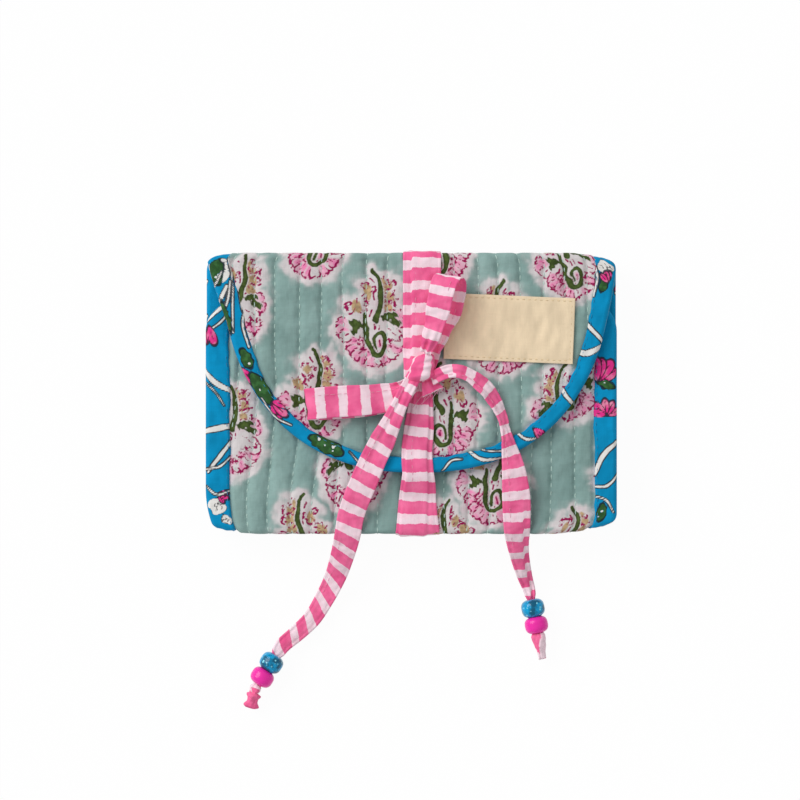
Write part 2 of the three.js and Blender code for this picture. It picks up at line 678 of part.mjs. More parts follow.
function threadedTail(side, points, steps, blueY, endY) {
  const rough = smoothCurve(points);
  const blueAt = distanceTo(rough, blueY);
  const pinkAt = blueAt + (beadBlueLength + beadPinkLength) / 2 + seat;
  const curve = tail(`tie_tail_${side}`, points, steps, blueAt, distanceTo(rough, endY));
  const blue = bead(`bead_blue_${side}`, curve, blueAt, beadBlueLength, blueBead);
  const pink = bead(`bead_pink_${side}`, curve, pinkAt, beadPinkLength, pinkBead);
  for (const [which, { at, axis }] of [['blue', blue], ['pink', pink]]) {
    console.log(`${which} ${side} bead at`, at.toArray().map(v => v.toFixed(2)).join(' '),
      'axis', axis.toArray().map(v => v.toFixed(4)).join(' '));
  }
  console.log(`${side} tail length`, curve.getLength().toFixed(1));
}
threadedTail('left', leftTailPoints, 56, hem - 0.76 * leftTailFall, hem - 0.935 * leftTailFall);
threadedTail('right', rightTailPoints, 60, hem - 0.595 * rightTailFall, hem - 0.886 * rightTailFall);

// A zip along X: two tapes, the closed coil, a slider with its bridge, a pull and two stops.
// Built face up about y = 0 with the tapes' underside at z = 0
function zipCoil() {
  const half = zipLength / 2 - stopLength - 1;
  const count = Math.floor(2 * half / coilPitch);
  const outline = [];
  for (const side of [1, -1]) {
    for (let k = 0; k < count; k++) {
      const x = side * (-half + k * coilPitch);
      const wide = side * coilWidth / 2;
      const narrow = side * coilWidth * 0.36;
      outline.push([x, wide], [x + side * coilPitch * 0.55, wide],
        [x + side * coilPitch * 0.7, narrow], [x + side * coilPitch * 0.85, narrow]);
    }
  }
  return prism(outline.reverse(), zipTapeCloth + seat, zipTapeCloth + seat + coilHeight);
}

const plateLow = zipTapeCloth + seat + coilHeight + seat;
const bridgeUnder = plateLow + sliderWall + bridgeRoom;
const sliderTop = bridgeUnder + bridgeBar;
const pullPivot = plateLow + sliderWall + bridgeRoom / 2;

function zipSlider() {
  const half = sliderLength / 2;
  const wide = sliderWidth / 2;
  const nose = sliderLength * 0.28;
  const plan = [[-half, -wide * 0.7], [-half + nose, -wide], [half, -wide], [half, wide],
    [-half + nose, wide], [-half, wide * 0.7]];
  const body = prism(plan, zipTapeCloth + seat, plateLow + sliderWall);
  const channel = box(-half - 1, half + 1, -coilWidth / 2 - seat, coilWidth / 2 + seat,
    0, plateLow);
  const bridgeHalf = half - 0.9;
  const b = bridgeWidth / 2;
  const bridge = box(-bridgeHalf, bridgeHalf, -b, b, plateLow, sliderTop);
  const under = box(-bridgeHalf + bridgeBar, bridgeHalf - bridgeBar, -b - 1, b + 1,
    plateLow + sliderWall, bridgeUnder);
  return join(cut(body, channel), cut(bridge, under));
}

function zipPull() {
  const w = pullWidth / 2;
  const t = pullBar / 2;
  const start = -t;
  const eyeHalf = bridgeWidth / 2 + seat;
  const eyeEnd = sliderLength / 2 - 0.9 + seat + 0.4;
  const end = pullLength;
  const outline = [[start, -w], [end - 1, -w * 0.8], [end, -w * 0.5], [end, w * 0.5],
    [end - 1, w * 0.8], [start, w]];
  return cut(prism(outline, -t, t), box(t, eyeEnd, -eyeHalf, eyeHalf, -2, 2));
}

function zip(name, y, level, facing) {
  const group = new THREE.Group();
  group.position.set(0, y, level);
  if (facing < 0) group.rotation.x = Math.PI;
  organizer.add(group);
  const half = zipLength / 2;
  for (const [row, side] of [['upper', 1], ['lower', -1]]) {
    const near = side * facing * seat / 2;
    const far = side * facing * zipTapeWidth;
    add(`${name}_zip_tape_${row}`, box(-half, half, Math.min(near, far), Math.max(near, far),
      0, zipTapeCloth), zipCotton, group);
  }
  add(`${name}_zip_coil`, zipCoil(), coilNylon, group);
  for (const [end, side] of [['left', -1], ['right', 1]]) {
    const from = side * (half - stopLength);
    add(`${name}_zip_stop_${end}`, box(Math.min(from, side * half), Math.max(from, side * half),
      -coilWidth / 2, coilWidth / 2, zipTapeCloth + seat, zipTapeCloth + seat + coilHeight),
    brass, group);
  }
  const sliderX = half - stopLength - sliderFromEnd;
  const slider = add(`${name}_zip_slider`, zipSlider(), brass, group);
  slider.position.x = sliderX;
  const pull = add(`${name}_zip_pull`, zipPull(), brass, group);
  pull.position.set(sliderX, 0, pullPivot);
}

// A cloth pocket panel with a lip all round that reaches its backing, so the pocket has a room
function pocket(y0, y1, level, facing) {
  const half = zipLength / 2;
  const lip = 3;
  const z = (a, b) => [Math.min(level + facing * a, level + facing * b),
    Math.max(level + facing * a, level + facing * b)];
  const outer = box(-half, half, y0, y1, ...z(0, pocketRoom + pocketCloth));
  const inner = box(-half + lip, half - lip, y0 + lip, y1 + 1, ...z(-1, pocketRoom));
  return cut(outer, inner);
}

const backPocketTop = backZipY - zipTapeWidth - seat;
add('back_pocket', pocket(backPocketMargin - halfHeight, backPocketTop, backInside + seat, 1), blueCloth);
zip('back', backZipY, backInside + seat, 1);
const frontPocketTop = frontZipY - zipTapeWidth - seat;
add('front_pocket', pocket(frontPocketMargin - halfHeight, frontPocketTop, leafInside - seat, -1), blueCloth);
zip('front', frontZipY, leafInside - seat, -1);

// The ring roll: a padded roll sewn down at its left end and snapped down at its right end
const rollLeft = -rollLength / 2;
const rollRight = rollLength / 2;
const rollLevel = backInside + seat + rollDiameter / 2 + 0.8;
const rollRadius = rollDiameter / 2;

function rollGeometry() {
  const soft = 2.4;
  const profile = [[0, 0], [rollRadius - soft, 0], [rollRadius - 0.6, 0.9], [rollRadius, soft],
    [rollRadius, rollLength - soft], [rollRadius - 0.6, rollLength - 0.9],
    [rollRadius - soft, rollLength], [0, rollLength]];
  return new THREE.LatheGeometry(profile.map(([x, y]) => new THREE.Vector2(x, y)), 20)
    .rotateZ(-Math.PI / 2).translate(rollLeft, rollY, rollLevel);
}
const tabThickness = 1;
const tabWidth = 11;
const tab = (x0, x1, z0) => box(x0, x1, rollY - tabWidth / 2, rollY + tabWidth / 2, z0,
  z0 + tabThickness);
const snapX = rollRight + rollTabLength / 2 + 1;
const snapBase = backInside + seat;
const studTop = snapBase + snapHeight + 1;
const tabLevel = snapBase + snapHeight + seat;
const snapRing = new THREE.CylinderGeometry(snapDiameter / 2, snapDiameter / 2, snapHeight, 20)
  .rotateX(Math.PI / 2);
const postRadius = 1.6;
const post = new THREE.CylinderGeometry(postRadius, postRadius, studTop - snapBase, 14)
  .rotateX(Math.PI / 2);
const rollTab = join(rollGeometry(), tab(rollRight - 2, rollRight + rollTabLength, tabLevel));
const postHole = new THREE.CylinderGeometry(postRadius + seat, postRadius + seat, 4, 14)
  .rotateX(Math.PI / 2).translate(snapX, rollY, tabLevel);
add('ring_roll', cut(rollTab, postHole), blueCloth);
add('ring_roll_anchor', box(rollLeft - 8, rollLeft - seat, rollY - tabWidth / 2,
  rollY + tabWidth / 2, snapBase, snapBase + 4), blueCloth);
const studDisc = snapRing.clone().translate(snapX, rollY, snapBase + snapHeight / 2);
add('snap_stud', join(studDisc, post.clone().translate(snapX, rollY,
  (studTop + snapBase) / 2)), brass);
const capLevel = tabLevel + tabThickness + seat;
add('snap_cap', snapRing.clone().translate(snapX, rollY, capLevel + snapHeight / 2), brass);

export default organizer;
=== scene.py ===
"""Looks of a tri-fold quilted jewelry organizer: block-printed cotton, striped ties and glass beads.

Shapes are worked out in millimetres, +X to the right, +Y towards the top fold, +Z out of the front,
and put into Blender in metres.
"""

import math

import bpy
import numpy as np
from bpy.props import FloatProperty, FloatVectorProperty, IntProperty, PointerProperty
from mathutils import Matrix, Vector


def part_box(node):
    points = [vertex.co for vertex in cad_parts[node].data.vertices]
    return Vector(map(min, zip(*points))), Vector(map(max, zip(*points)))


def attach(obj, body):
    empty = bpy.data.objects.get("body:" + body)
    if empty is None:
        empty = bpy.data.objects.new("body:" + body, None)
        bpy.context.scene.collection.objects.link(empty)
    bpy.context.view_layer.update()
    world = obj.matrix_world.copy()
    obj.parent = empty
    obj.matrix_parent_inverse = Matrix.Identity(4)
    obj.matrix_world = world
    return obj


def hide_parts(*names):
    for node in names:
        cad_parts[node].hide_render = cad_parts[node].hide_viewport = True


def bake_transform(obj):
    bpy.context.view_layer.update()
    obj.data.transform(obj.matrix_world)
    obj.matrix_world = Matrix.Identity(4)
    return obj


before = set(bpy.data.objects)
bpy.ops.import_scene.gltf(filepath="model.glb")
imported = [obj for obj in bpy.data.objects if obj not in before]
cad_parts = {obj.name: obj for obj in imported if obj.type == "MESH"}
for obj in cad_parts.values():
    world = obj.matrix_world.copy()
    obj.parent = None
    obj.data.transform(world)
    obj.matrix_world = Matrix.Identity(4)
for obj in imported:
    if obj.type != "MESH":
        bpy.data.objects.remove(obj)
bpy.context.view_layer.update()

bl_info = {"name": "Quilted jewelry organizer", "version": (1, 0, 0), "blender": (4, 5, 0),
    "location": "View3D > Sidebar > Organizer",
    "description": "Quilted panels, bindings, ties, beads and linings of a tri-fold organizer",
    "category": "Object"}


# Sizes and colours that a user would change


def srgb(red, green, blue):
    """A colour given from 0 to 255 as shown on a screen, as the linear values that Blender takes."""
    shown = np.array([red, green, blue]) / 255
    return tuple(np.where(shown <= 0.04045, shown / 12.92, ((shown + 0.055) / 1.055) ** 2.4))


def colour(name, text, *rgb):
    return FloatVectorProperty(name=name, description=text, subtype="COLOR", size=3, min=0, max=1,
        default=srgb(*rgb))


def length(name, text, mm):
    return FloatProperty(name=name, description=text, default=mm / 1000, unit="LENGTH", precision=4, min=0)


def box_mm(node):
    """Lowest and highest corner of a CAD node, in millimetres."""
    low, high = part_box(node)
    return np.array(low) * 1000, np.array(high) * 1000


BACK = box_mm("back_binding_left")
LEAF = box_mm("front_binding")
FLAP = box_mm("flap_binding")


class CaseSizes(bpy.types.PropertyGroup):
    half_width: length("Half width", "From the middle to a side edge", -BACK[0][0])
    half_height: length("Half height", "From the middle to a fold", BACK[1][1])
    leaf_face: length("Leaf face", "Height of the front leaf's outer face", LEAF[1][2] + 0.1)
    leaf_end: length("Leaf end", "How far up the front leaf reaches", LEAF[1][1])
    flap_face: length("Flap face", "Height of the flap's outer face", FLAP[1][2] + 0.1)
    flap_depth: length("Flap depth", "From the top fold to the flap's tip", 90)
    flap_inset: length("Flap inset", "How far the flap stays in from each side edge", 4)
    flap_shift: length("Flap shift", "How far the flap's middle lies to the right", 2)
    flap_flare: length("Flap flare", "Depth over which the flap widens at its fold", 28)
    panel: length("Panel", "Thickness of a panel with its lining", 4.3)
    bend: length("Bend radius", "Radius of the bends round the back", 5.5)
    fold: length("Fold radius", "Radius of a fold's outer edge", 2.6)
    corner: length("Corner radius", "Radius of the front leaf's corners", 13)
    side_binding: length("Side binding", "Width of the binding down the sides", 9.5)
    flap_binding: length("Flap binding", "Width of the binding round the flap", 6.2)


class QuiltLook(bpy.types.PropertyGroup):
    pitch: length("Stitch pitch", "From one stitched line to the next", 9.1)
    groove: length("Groove depth", "How deep a stitched line pulls the quilt in", 0.95)
    stitch: length("Stitch length", "Length of a running stitch", 2.6)
    gap: length("Stitch gap", "Gap between two running stitches", 0.9)
    seed: IntProperty(name="Puckers", description="Which puckers the cloth takes", default=7)
    ground: colour("Ground", "Sage ground of the print", 148, 178, 173)
    deep: colour("Deep ground", "Darker clouds in the ground", 110, 139, 135)
    halo: colour("Halo", "Undyed cloth round each flower", 219, 211, 212)
    petal: colour("Petal", "Pink of the petals", 236, 120, 174)
    outline: colour("Outline", "Maroon of the outlines", 150, 18, 80)
    floret: colour("Floret", "Mustard of the florets", 194, 162, 112)
    stem: colour("Stem", "Olive of the stems and leaves", 84, 104, 50)
    thread: colour("Thread", "Quilting thread", 196, 224, 214)


class BlueLook(bpy.types.PropertyGroup):
    ground: colour("Ground", "Cerulean ground of the binding", 0, 147, 199)
    vine: colour("Vine", "White of the vines", 232, 230, 226)
    ink: colour("Ink", "Dark outlines", 28, 34, 42)
    leaf: colour("Leaf", "Green of the leaves", 46, 84, 44)
    bloom: colour("Bloom", "Hot pink of the flowers", 232, 52, 140)


class TieLook(bpy.types.PropertyGroup):
    pink: colour("Pink", "Pink stripes", 252, 120, 168)
    white: colour("White", "Pale stripes", 248, 222, 232)
    thread: colour("Thread", "Thread of the seams", 244, 168, 196)
    period: length("Stripe period", "From one pink stripe to the next", 9.2)
    tail: length("Tail width", "Width of a free tail", 10.5)


class TrimLook(bpy.types.PropertyGroup):
    label: colour("Label", "Cream of the bare label", 246, 224, 190)
    label_thread: colour("Label thread", "Tan thread round the label", 236, 212, 168)
    lining: colour("Lining", "Natural cotton of the lining", 228, 214, 188)
    tape: colour("Zip tape", "Cotton of the zip tapes", 214, 198, 164)
    blue_bead: colour("Blue bead", "Glass of the upper beads", 0, 160, 214)
    pink_bead: colour("Pink bead", "Glaze of the lower beads", 255, 46, 176)
    brass: colour("Brass", "Sliders, pulls, stops and snap", 190, 150, 96)


class StageLook(bpy.types.PropertyGroup):
    floor: colour("Floor", "Pale studio floor", 255, 255, 255)
    pixel: length("Pixel", "Size of a pixel at the front of the case", 0.41)
    distance: FloatProperty(name="Camera distance", description="Height of the camera", default=3.0,
        unit="LENGTH")
    white: FloatProperty(name="White", description="Share of the floor shown as plain white", default=0.96,
        min=0, max=1)
    sky: FloatProperty(name="Soft light", description="Level of the light from all round", default=0.52)
    key: FloatProperty(name="Key light", description="Strength of the soft key light", default=1.85)


SETTINGS = {"organizer_case": CaseSizes, "organizer_quilt": QuiltLook, "organizer_blue": BlueLook,
            "organizer_tie": TieLook, "organizer_trim": TrimLook, "organizer_stage": StageLook}


def mm(metres):
    return metres * 1000


# Meshes from arrays of points


def unit(vectors):
    """Vectors divided by their own length."""
    return vectors / np.maximum(np.linalg.norm(vectors, axis=-1, keepdims=True), 1e-12)


def put_mesh(name, points, faces, material, fields=None, smooth=True):
    """A mesh object from points in millimetres. Each field becomes a float attribute."""
    mesh = bpy.data.meshes.new(name)
    mesh.from_pydata((points / 1000).tolist(), [], [list(f) for f in faces])
    mesh.materials.append(material)
    for key, values in (fields or {}).items():
        layer = mesh.attributes.new(key, "FLOAT", "POINT")
        layer.data.foreach_set("value", np.asarray(values, np.float32).ravel())
    mesh.polygons.foreach_set("use_smooth", np.full(len(mesh.polygons), smooth))
    mesh.update()
    made = bpy.data.objects.new(name, mesh)
    bpy.context.scene.collection.objects.link(made)
    return made


def grid_faces(rows, columns, round_rows=False, round_columns=False):
    """Quads between neighbours of a grid, which may close on itself either way."""
    i = np.arange(rows if round_rows else rows - 1)
    j = np.arange(columns if round_columns else columns - 1)
    a, b = np.meshgrid(i, j, indexing="ij")
    a2, b2 = (a + 1) % rows, (b + 1) % columns
    quads = [a * columns + b, a * columns + b2, a2 * columns + b2, a2 * columns + b]
    return np.stack(quads, -1).reshape(-1, 4)


def tube_mesh(name, rings, material, fields=None):
    """A closed tube from rings of points, shape (rings, points, 3), with its two ends filled."""
    rows, columns = rings.shape[:2]
    faces = grid_faces(rows, columns, round_columns=True).tolist()
    faces += [list(range(columns))[::-1], list(range((rows - 1) * columns, rows * columns))]
    return outward(put_mesh(name, rings.reshape(-1, 3), faces, material, fields))


def outward(piece):
    """Turns a closed mesh inside out if the volume that its faces enclose is negative."""
    mesh = piece.data
    points = np.empty(len(mesh.vertices) * 3)
    mesh.vertices.foreach_get("co", points)
    mesh.calc_loop_triangles()
    corners = np.empty(len(mesh.loop_triangles) * 3, np.int32)
    mesh.loop_triangles.foreach_get("vertices", corners)
    a, b, c = points.reshape(-1, 3)[corners.reshape(-1, 3)].transpose(1, 0, 2)
    if np.einsum("ij,ij->i", a, np.cross(b, c)).sum() < 0:
        mesh.flip_normals()
    return piece


def merge_meshes(name, parts, material):
    """One mesh from many (points, faces) pairs, which all have as many points and faces."""
    points, faces = (np.array(column) for column in zip(*parts))
    faces = faces + len(points[0]) * np.arange(len(parts))[:, None, None]
    return put_mesh(name, points.reshape(-1, 3), faces.reshape(-1, 4).tolist(), material)


def ripple(u, v, seed, wave, count=9):
    """A smooth, repeatable unevenness between about -1 and 1: the sum of sines in the plane, whose
    directions, phases and lengths about wave are drawn from the seed."""
    dice = np.random.default_rng(seed)
    angle = dice.uniform(0, 2 * math.pi, count)
    phase = dice.uniform(0, 2 * math.pi, count)
    pitch = 2 * math.pi / (wave * dice.uniform(0.7, 1.6, count))
    total = sum(np.sin(k * (u * math.cos(a) + v * math.sin(a)) + p) for a, p, k in zip(angle, phase, pitch))
    return total / math.sqrt(count)


def ease(value, low, high):
    """0 below low, 1 above high, and an S-curve between them."""
    t = np.clip((value - low) / (high - low), 0, 1)
    return t * t * (3 - 2 * t)


def smooth_stops(share, pairs):
    """Reads values between (share, value) stops through an S-curve from each to the next."""
    at, value = (np.array(x, float) for x in zip(*pairs))
    k = np.clip(np.searchsorted(at, share, side="right") - 1, 0, len(at) - 2)
    return value[k] + (value[k + 1] - value[k]) * ease(share, at[k], at[k + 1])


def run_along(line):
    """How far along a line of points each of them lies."""
    return np.concatenate([[0], np.cumsum(np.linalg.norm(np.diff(line, axis=0), axis=1))])


def read_at(at, along, points):
    """Points of a line, read at given runs along it."""
    return np.stack([np.interp(at, along, values) for values in points.T], -1)


def even_line(line, step):
    """A line's points at even steps."""
    along = run_along(line)
    return read_at(np.linspace(0, along[-1], round(along[-1] / step) + 1), along, line)


def turns(count):
    """Angles at even steps round a circle."""
    return np.arange(count) / count * 2 * math.pi


def smooth_path(route, count):
    """A centripetal Catmull-Rom curve through the route, sampled at even steps of its length."""
    p = np.array(route, float)
    p = np.vstack([2 * p[0] - p[1], p, 2 * p[-1] - p[-2]])
    knots = np.concatenate([[0], np.cumsum(np.linalg.norm(np.diff(p, axis=0), axis=1) ** 0.5)])

    def between(a, b, low, high):
        return ((knots[high] - t) * a + (t - knots[low]) * b) / (knots[high] - knots[low])

    fine = []
    for k in range(len(p) - 3):
        t = np.linspace(knots[k + 1], knots[k + 2], 40, endpoint=False)[:, None]
        first = [between(p[j], p[j + 1], j, j + 1) for j in range(k, k + 3)]
        second = [between(*first[j:j + 2], k + j, k + j + 2) for j in range(2)]
        fine.append(between(*second, k + 1, k + 2))
    fine = np.vstack([*fine, p[-2]])
    along = run_along(fine)
    return read_at(np.linspace(0, along[-1], count), along, fine), along[-1]


def frames_along(points, upright):
    """Side and normal at each point of a path, from an upright direction."""
    tangent = unit(np.gradient(points, axis=0))
    side = unit(np.cross(tangent, upright))
    return side, unit(np.cross(side, tangent))


def ribbon_rings(points, side, normal, width, cloth, across, lift):
    """Rings of a flat, folded strip of cloth carried along a path.

    Across the strip, x runs from -1 to 1 over the upper face and back under the lower one. The
    cloth is thinnest a little way in from each edge, where it is stitched, and closes in a round
    edge. Lift moves both faces along the normal.
    """
    face = np.sin(np.linspace(-1, 1, across) * math.pi / 2)
    loop = np.concatenate([face, face[::-1]])
    x = width[:, None] / 2 * loop
    inset = width[:, None] / 2 - np.abs(x)
    stitched = 1 - 0.35 * np.exp(-((inset - 1.3) / 0.5) ** 2)
    edge = np.sqrt(np.clip(1 - np.abs(loop) ** 7, 0, 1))
    z = cloth[:, None] / 2 * np.repeat([1, -1], across) * edge * stitched
    z = z + lift(np.linspace(0, 1, len(points))[:, None], loop[None, :])
    rings = points[:, None] + x[..., None] * side[:, None] + z[..., None] * normal[:, None]
    return rings, x


def stitch_row(points, normals, stitch, gap, thick, sink=0.1, start=0.0):
    """Running stitches along a path: bars of five rings of six points that dip in at both ends."""
    along = run_along(points)
    first = np.arange(start, along[-1] - stitch, stitch + gap)
    share = np.linspace(0, 1, 5)
    at = first[:, None] + share * stitch
    centre = read_at(at, along, points)
    up = unit(read_at(at, along, normals))
    side = unit(np.cross(unit(np.gradient(centre, axis=1)), up))
    bulge = np.sin(math.pi * (0.12 + 0.76 * share))
    centre = centre + up * ((bulge - 0.75) * thick - sink * (1 - bulge))[:, None]
    turn = turns(6)[:, None]
    ring = side[:, :, None] * np.cos(turn) + up[:, :, None] * np.sin(turn)
    radius = thick / 2 * (0.55 + 0.45 * bulge)
    rings = centre[:, :, None] + ring * radius[:, None, None]
    faces = grid_faces(5, 6, round_columns=True)
    return [(bar.reshape(-1, 3), faces) for bar in rings]


# Block prints, worked out as distances from each colour's edge. Below 0 is inside the colour


def segment_distance(p, a, b):
    """Distance from points p to the line from a to b, and the share of the way along it."""
    way = b - a
    t = np.clip(((p - a) @ way) / (way @ way), 0, 1)
    return np.linalg.norm(p - a - t[:, None] * way, axis=1), t


def stroke(p, line, width):
    """Signed distance to a brush stroke along a line of points, its half width read at each."""
    line = np.asarray(line, float)
    width = np.broadcast_to(np.asarray(width, float), len(line))
    best = np.full(len(p), 1e3)
    for k in range(len(line) - 1):
        d, t = segment_distance(p, line[k], line[k + 1])
        best = np.minimum(best, d - (width[k] + (width[k + 1] - width[k]) * t))
    return best


def petal_shape(p, root, angle, size, wide, point=0.35):
    """Signed distance, near enough, to a petal that grows from its root at an angle: an ellipse
    whose width swells towards its outer end."""
    c, s = math.cos(angle), math.sin(angle)
    q = (p - root) @ np.array([[c, -s], [s, c]])
    along = q[:, 0] / size * 2 - 1
    swell = wide / 2 * (1 + point * along * 0.6)
    across = q[:, 1] / np.maximum(swell, 0.1)
    reach = np.sqrt(along ** 2 + across ** 2)
    return (reach - 1) * min(size, wide) / 2


def fine_line(points, count=14):
    """A smooth line through a few points in the plane."""
    points = np.asarray(points, float)
    flat = np.column_stack([points, np.zeros(len(points))])
    return smooth_path(flat, count)[0][:, :2]


ALL = slice(None)


class Print:
    """A block print on points (u, v): one signed distance a colour, painted one over another."""

    def __init__(self, u, v, colours):
        self.points = np.column_stack([np.ravel(u), np.ravel(v)]).astype(float)
        self.near = {c: np.full(len(self.points), 9.0) for c in colours}

    def block(self, middle, turn, scale, reach, mirror=False):
        """The points near a block, in the block's own coordinates."""
        here = np.nonzero(np.abs(self.points - middle).max(1) < reach * scale)[0]
        c, s = math.cos(-turn), math.sin(-turn)
        q = (self.points[here] - middle) @ np.array([[c, s], [-s, c]]) / scale
        if mirror:
            q[:, 0] *= -1
        return here, q

    def cut(self, here, names, distance):
        """Takes a shape out of some colours."""
        for name in names:
            self.near[name][here] = np.maximum(self.near[name][here], -distance)

    def paint(self, here, name, distance, over=()):
        """Adds a shape to a colour, and takes it out of the colours that it lies over."""
        self.cut(here, over, distance)
        self.near[name][here] = np.minimum(self.near[name][here], distance)

    def inked(self, fill, distance, pen, over):
        """A filled shape with an inked outline."""
        self.cut(ALL, (fill, "ink", *over), distance)
        self.paint(ALL, fill, distance)
        self.paint(ALL, "ink", np.abs(distance) - pen)


def shaken(points, amount, seed, wave):
    """Points moved a little, unevenly, as the edges of a carved block are."""
    u, v = points.T
    return points + amount * np.column_stack([ripple(u, v, seed + k, wave) for k in (0, 1)])


SAGE = ("halo", "petal", "outline", "floret", "stem")


def buta(cloth, middle, turn=0.0, scale=1.0, mirror=False, seed=0, hook=True):
    """A flowering buta, the spray of Indian block printing, about 30 mm wide and 42 mm tall.

    A curling stem stands over a ring of scalloped petals, with mustard florets at its shoulders
    and toothed leaves at its waist. An undyed halo of 1.6 mm lies round all of it.
    """
    dice = np.random.default_rng(seed)
    here, q = cloth.block(np.array(middle, float), turn, scale, 27, mirror)
    if not len(here):
        return
    q = shaken(q, 0.35, seed + 1, 7)
    before = {c: cloth.near[c][here].copy() for c in SAGE}
    for c in SAGE:
        cloth.near[c][here] = 9.0
    pen = 0.29 / scale

    def lobe(x, y, angle, size, wide, pink=True):
        """A petal with a notched tip: soft pink, set a little off its own broken outline."""
        angle = angle + dice.uniform(-0.15, 0.15)
        along = np.array([math.cos(angle), math.sin(angle)])
        root = np.array([x, y]) + dice.uniform(-0.35, 0.35, 2)
        d = petal_shape(q, root, angle, size, wide, 0.62)
        notch = 0.16 * size - np.hypot(*(q - root - along * size * 1.03).T)
        d = np.maximum(d, notch)
        cloth.cut(here, SAGE[1:4], d - 0.1)
        if pink:
            slipped = petal_shape(q - (0.35, -0.3), root, angle, size * 0.97, wide * 0.96, 0.62)
            cloth.paint(here, "petal", slipped)
        reach = (q - root) @ along
        cut = size * dice.uniform(0.3, 0.5) - reach
        cloth.paint(here, "outline", np.maximum(np.abs(d) - pen, cut))
        rib = [root + along * size * 0.22, root + along * size * dice.uniform(0.5, 0.68)]
        cloth.paint(here, "outline", stroke(q, rib, pen * 0.85))

    def floret(x, y, size):
        """A mustard blot with maroon stamens round it, and two pale petals with their outline."""
        for k in range(3):
            a = dice.uniform(0, 2 * math.pi)
            lobe(x + 0.5 * math.cos(a), y + 0.5 * math.sin(a), a, size * 1.35, size * 0.95, False)
        for k in range(3):
            bx, by = x + dice.uniform(-0.4, 0.4) * size, y + dice.uniform(-0.45, 0.45) * size
            blot = np.hypot(q[:, 0] - bx, (q[:, 1] - by) * 0.75) - size * dice.uniform(0.5, 0.72)
            cloth.paint(here, "floret", blot + 0.3 * np.sin(q[:, 0] * 2.1 + k), over=("outline",))
        for k in range(5):
            a = k * math.pi * 0.4 + dice.uniform(-0.4, 0.4)
            near, far = dice.uniform(0.3, 0.7) * size, dice.uniform(0.9, 1.35) * size
            ray = np.array([math.cos(a), math.sin(a)])
            root = np.array([x, y])
            cloth.paint(here, "outline", stroke(q, [root + ray * near, root + ray * far],
                pen * dice.uniform(0.6, 1.0)))
            cloth.paint(here, "outline", np.hypot(*(q - root - ray * far).T) - pen * 1.3)

    for k, a in enumerate(np.linspace(math.radians(184), math.radians(354), 10)):
        x, y = 1 + 6.2 * math.cos(a), -7.0 + 5.6 * math.sin(a)
        lobe(x, y, a, 5.4, 4.0, k < 5 or k % 2 == 0)
    for k, a in enumerate(np.linspace(math.radians(195), math.radians(340), 8)):
        lobe(1 + 3.4 * math.cos(a), -6.4 + 2.8 * math.sin(a), a, 3.6, 2.9, k < 4 or k == 6)
    for x, y, a, pink in ((-9.4, -1, 2.6, True), (-9.6, -1.8, 3.5, True), (-8.6, -3.6, 3.9, False),
                          (8.6, 0.8, 0.6, True), (8.8, -0.4, -0.2, True), (7.2, -4, -0.5, False)):
        lobe(x, y, a, 4.8, 4.0, pink)
    for x, y, size in ((-5.6, 6.4, 2.7), (-1.6, 12, 2.5), (7.0, 13, 2.3), (7.2, 9, 2.5),
                       (6.8, 5, 2.4), (5.4, 16.4, 1.5)):
        floret(x, y, size)

    def green(distance):
        """Olive over what was printed before, with a thin gap left round it."""
        cloth.cut(here, SAGE[1:4], distance - 0.3)
        cloth.paint(here, "stem", distance)

    tall = fine_line([(1.2, 20.4), (2.8, 18.2), (3.9, 14.8), (4.0, 9.6), (3.0, 4.8), (1.5, 0.6)])
    green(stroke(q, tall, np.linspace(0.7, 1.35, len(tall))))
    if hook:
        curl = fine_line([(-2.4, 3.4), (-2.1, -2), (-1.5, -8), (0.2, -12.2), (2.8, -13), (4.9, -10.6),
            (5.1, -7), (3.5, -4.5), (1.6, -5.2), (0.9, -8), (1.4, -10.4)], 30)
        green(stroke(q, curl, np.interp(np.linspace(0, 1, 30), [0, 0.2, 0.75, 1], [0.8, 1.15, 0.95, 0.5])))
        eye = np.hypot((q[:, 0] - 3) / 0.55, q[:, 1] + 8.2) - 1.7
        cloth.paint(here, "petal", np.maximum(eye, -cloth.near["stem"][here]))
        cloth.paint(here, "outline", stroke(q, [(2.9, -7.2), (3.3, -9.4)], pen * 1.2))
    marks = [((0.2, 5.2), (-0.4, 2.6)), ((0.3, -0.6), (0.4, -2)), ((1.3, -1.6), (1.1, -3.6)),
        ((2.9, -0.8), (2.6, -2.8)), ((5.3, -3), (7, -3.8)), ((6.4, -6.6), (7.6, -7.4)),
        ((1.4, 11.2), (1.6, 8.8)), ((0.2, 17.4), (1.3, 15)), ((-1.2, 7.8), (-0.9, 7.4)),
        ((6.4, -9.6), (7.6, -10.2)), ((-4.4, -4.6), (-4.9, -6.4)), ((-3, -6.2), (-3.2, -8))]
    for root, tip in marks:
        shift = dice.uniform(-0.4, 0.4, 2)
        cloth.paint(here, "outline", stroke(q, [root + shift, tip + shift], pen * 1.15))
    for x, y, a, size in ((-3, -1.8, 2.75, 6.6), (-5.4, -0.4, 4.1, 4.6), (4, 1.4, 0.25, 6.4),
                          (7.4, 1.6, -0.75, 5.6)):
        d = petal_shape(q, np.array([x, y]), a, size, 2.7, 0.1)
        green(d + 0.3 * np.sin(3.2 * (q[:, 0] + 0.6 * q[:, 1])))

    spray = np.minimum.reduce([cloth.near[c][here] for c in SAGE[1:]])
    u, v = q.T
    ragged = 0.55 * ripple(u, v, seed + 3, 7) + 0.25 * ripple(u, v, seed + 4, 3)
    inside = (np.hypot(q[:, 0] / 9, (q[:, 1] + 0.5) / 15) - 1) * 9
    cloth.near["halo"][here] = np.minimum(spray - 1.6, inside) + ragged
    for c in SAGE:
        cloth.near[c][here] = np.minimum(cloth.near[c][here] * scale, before[c])


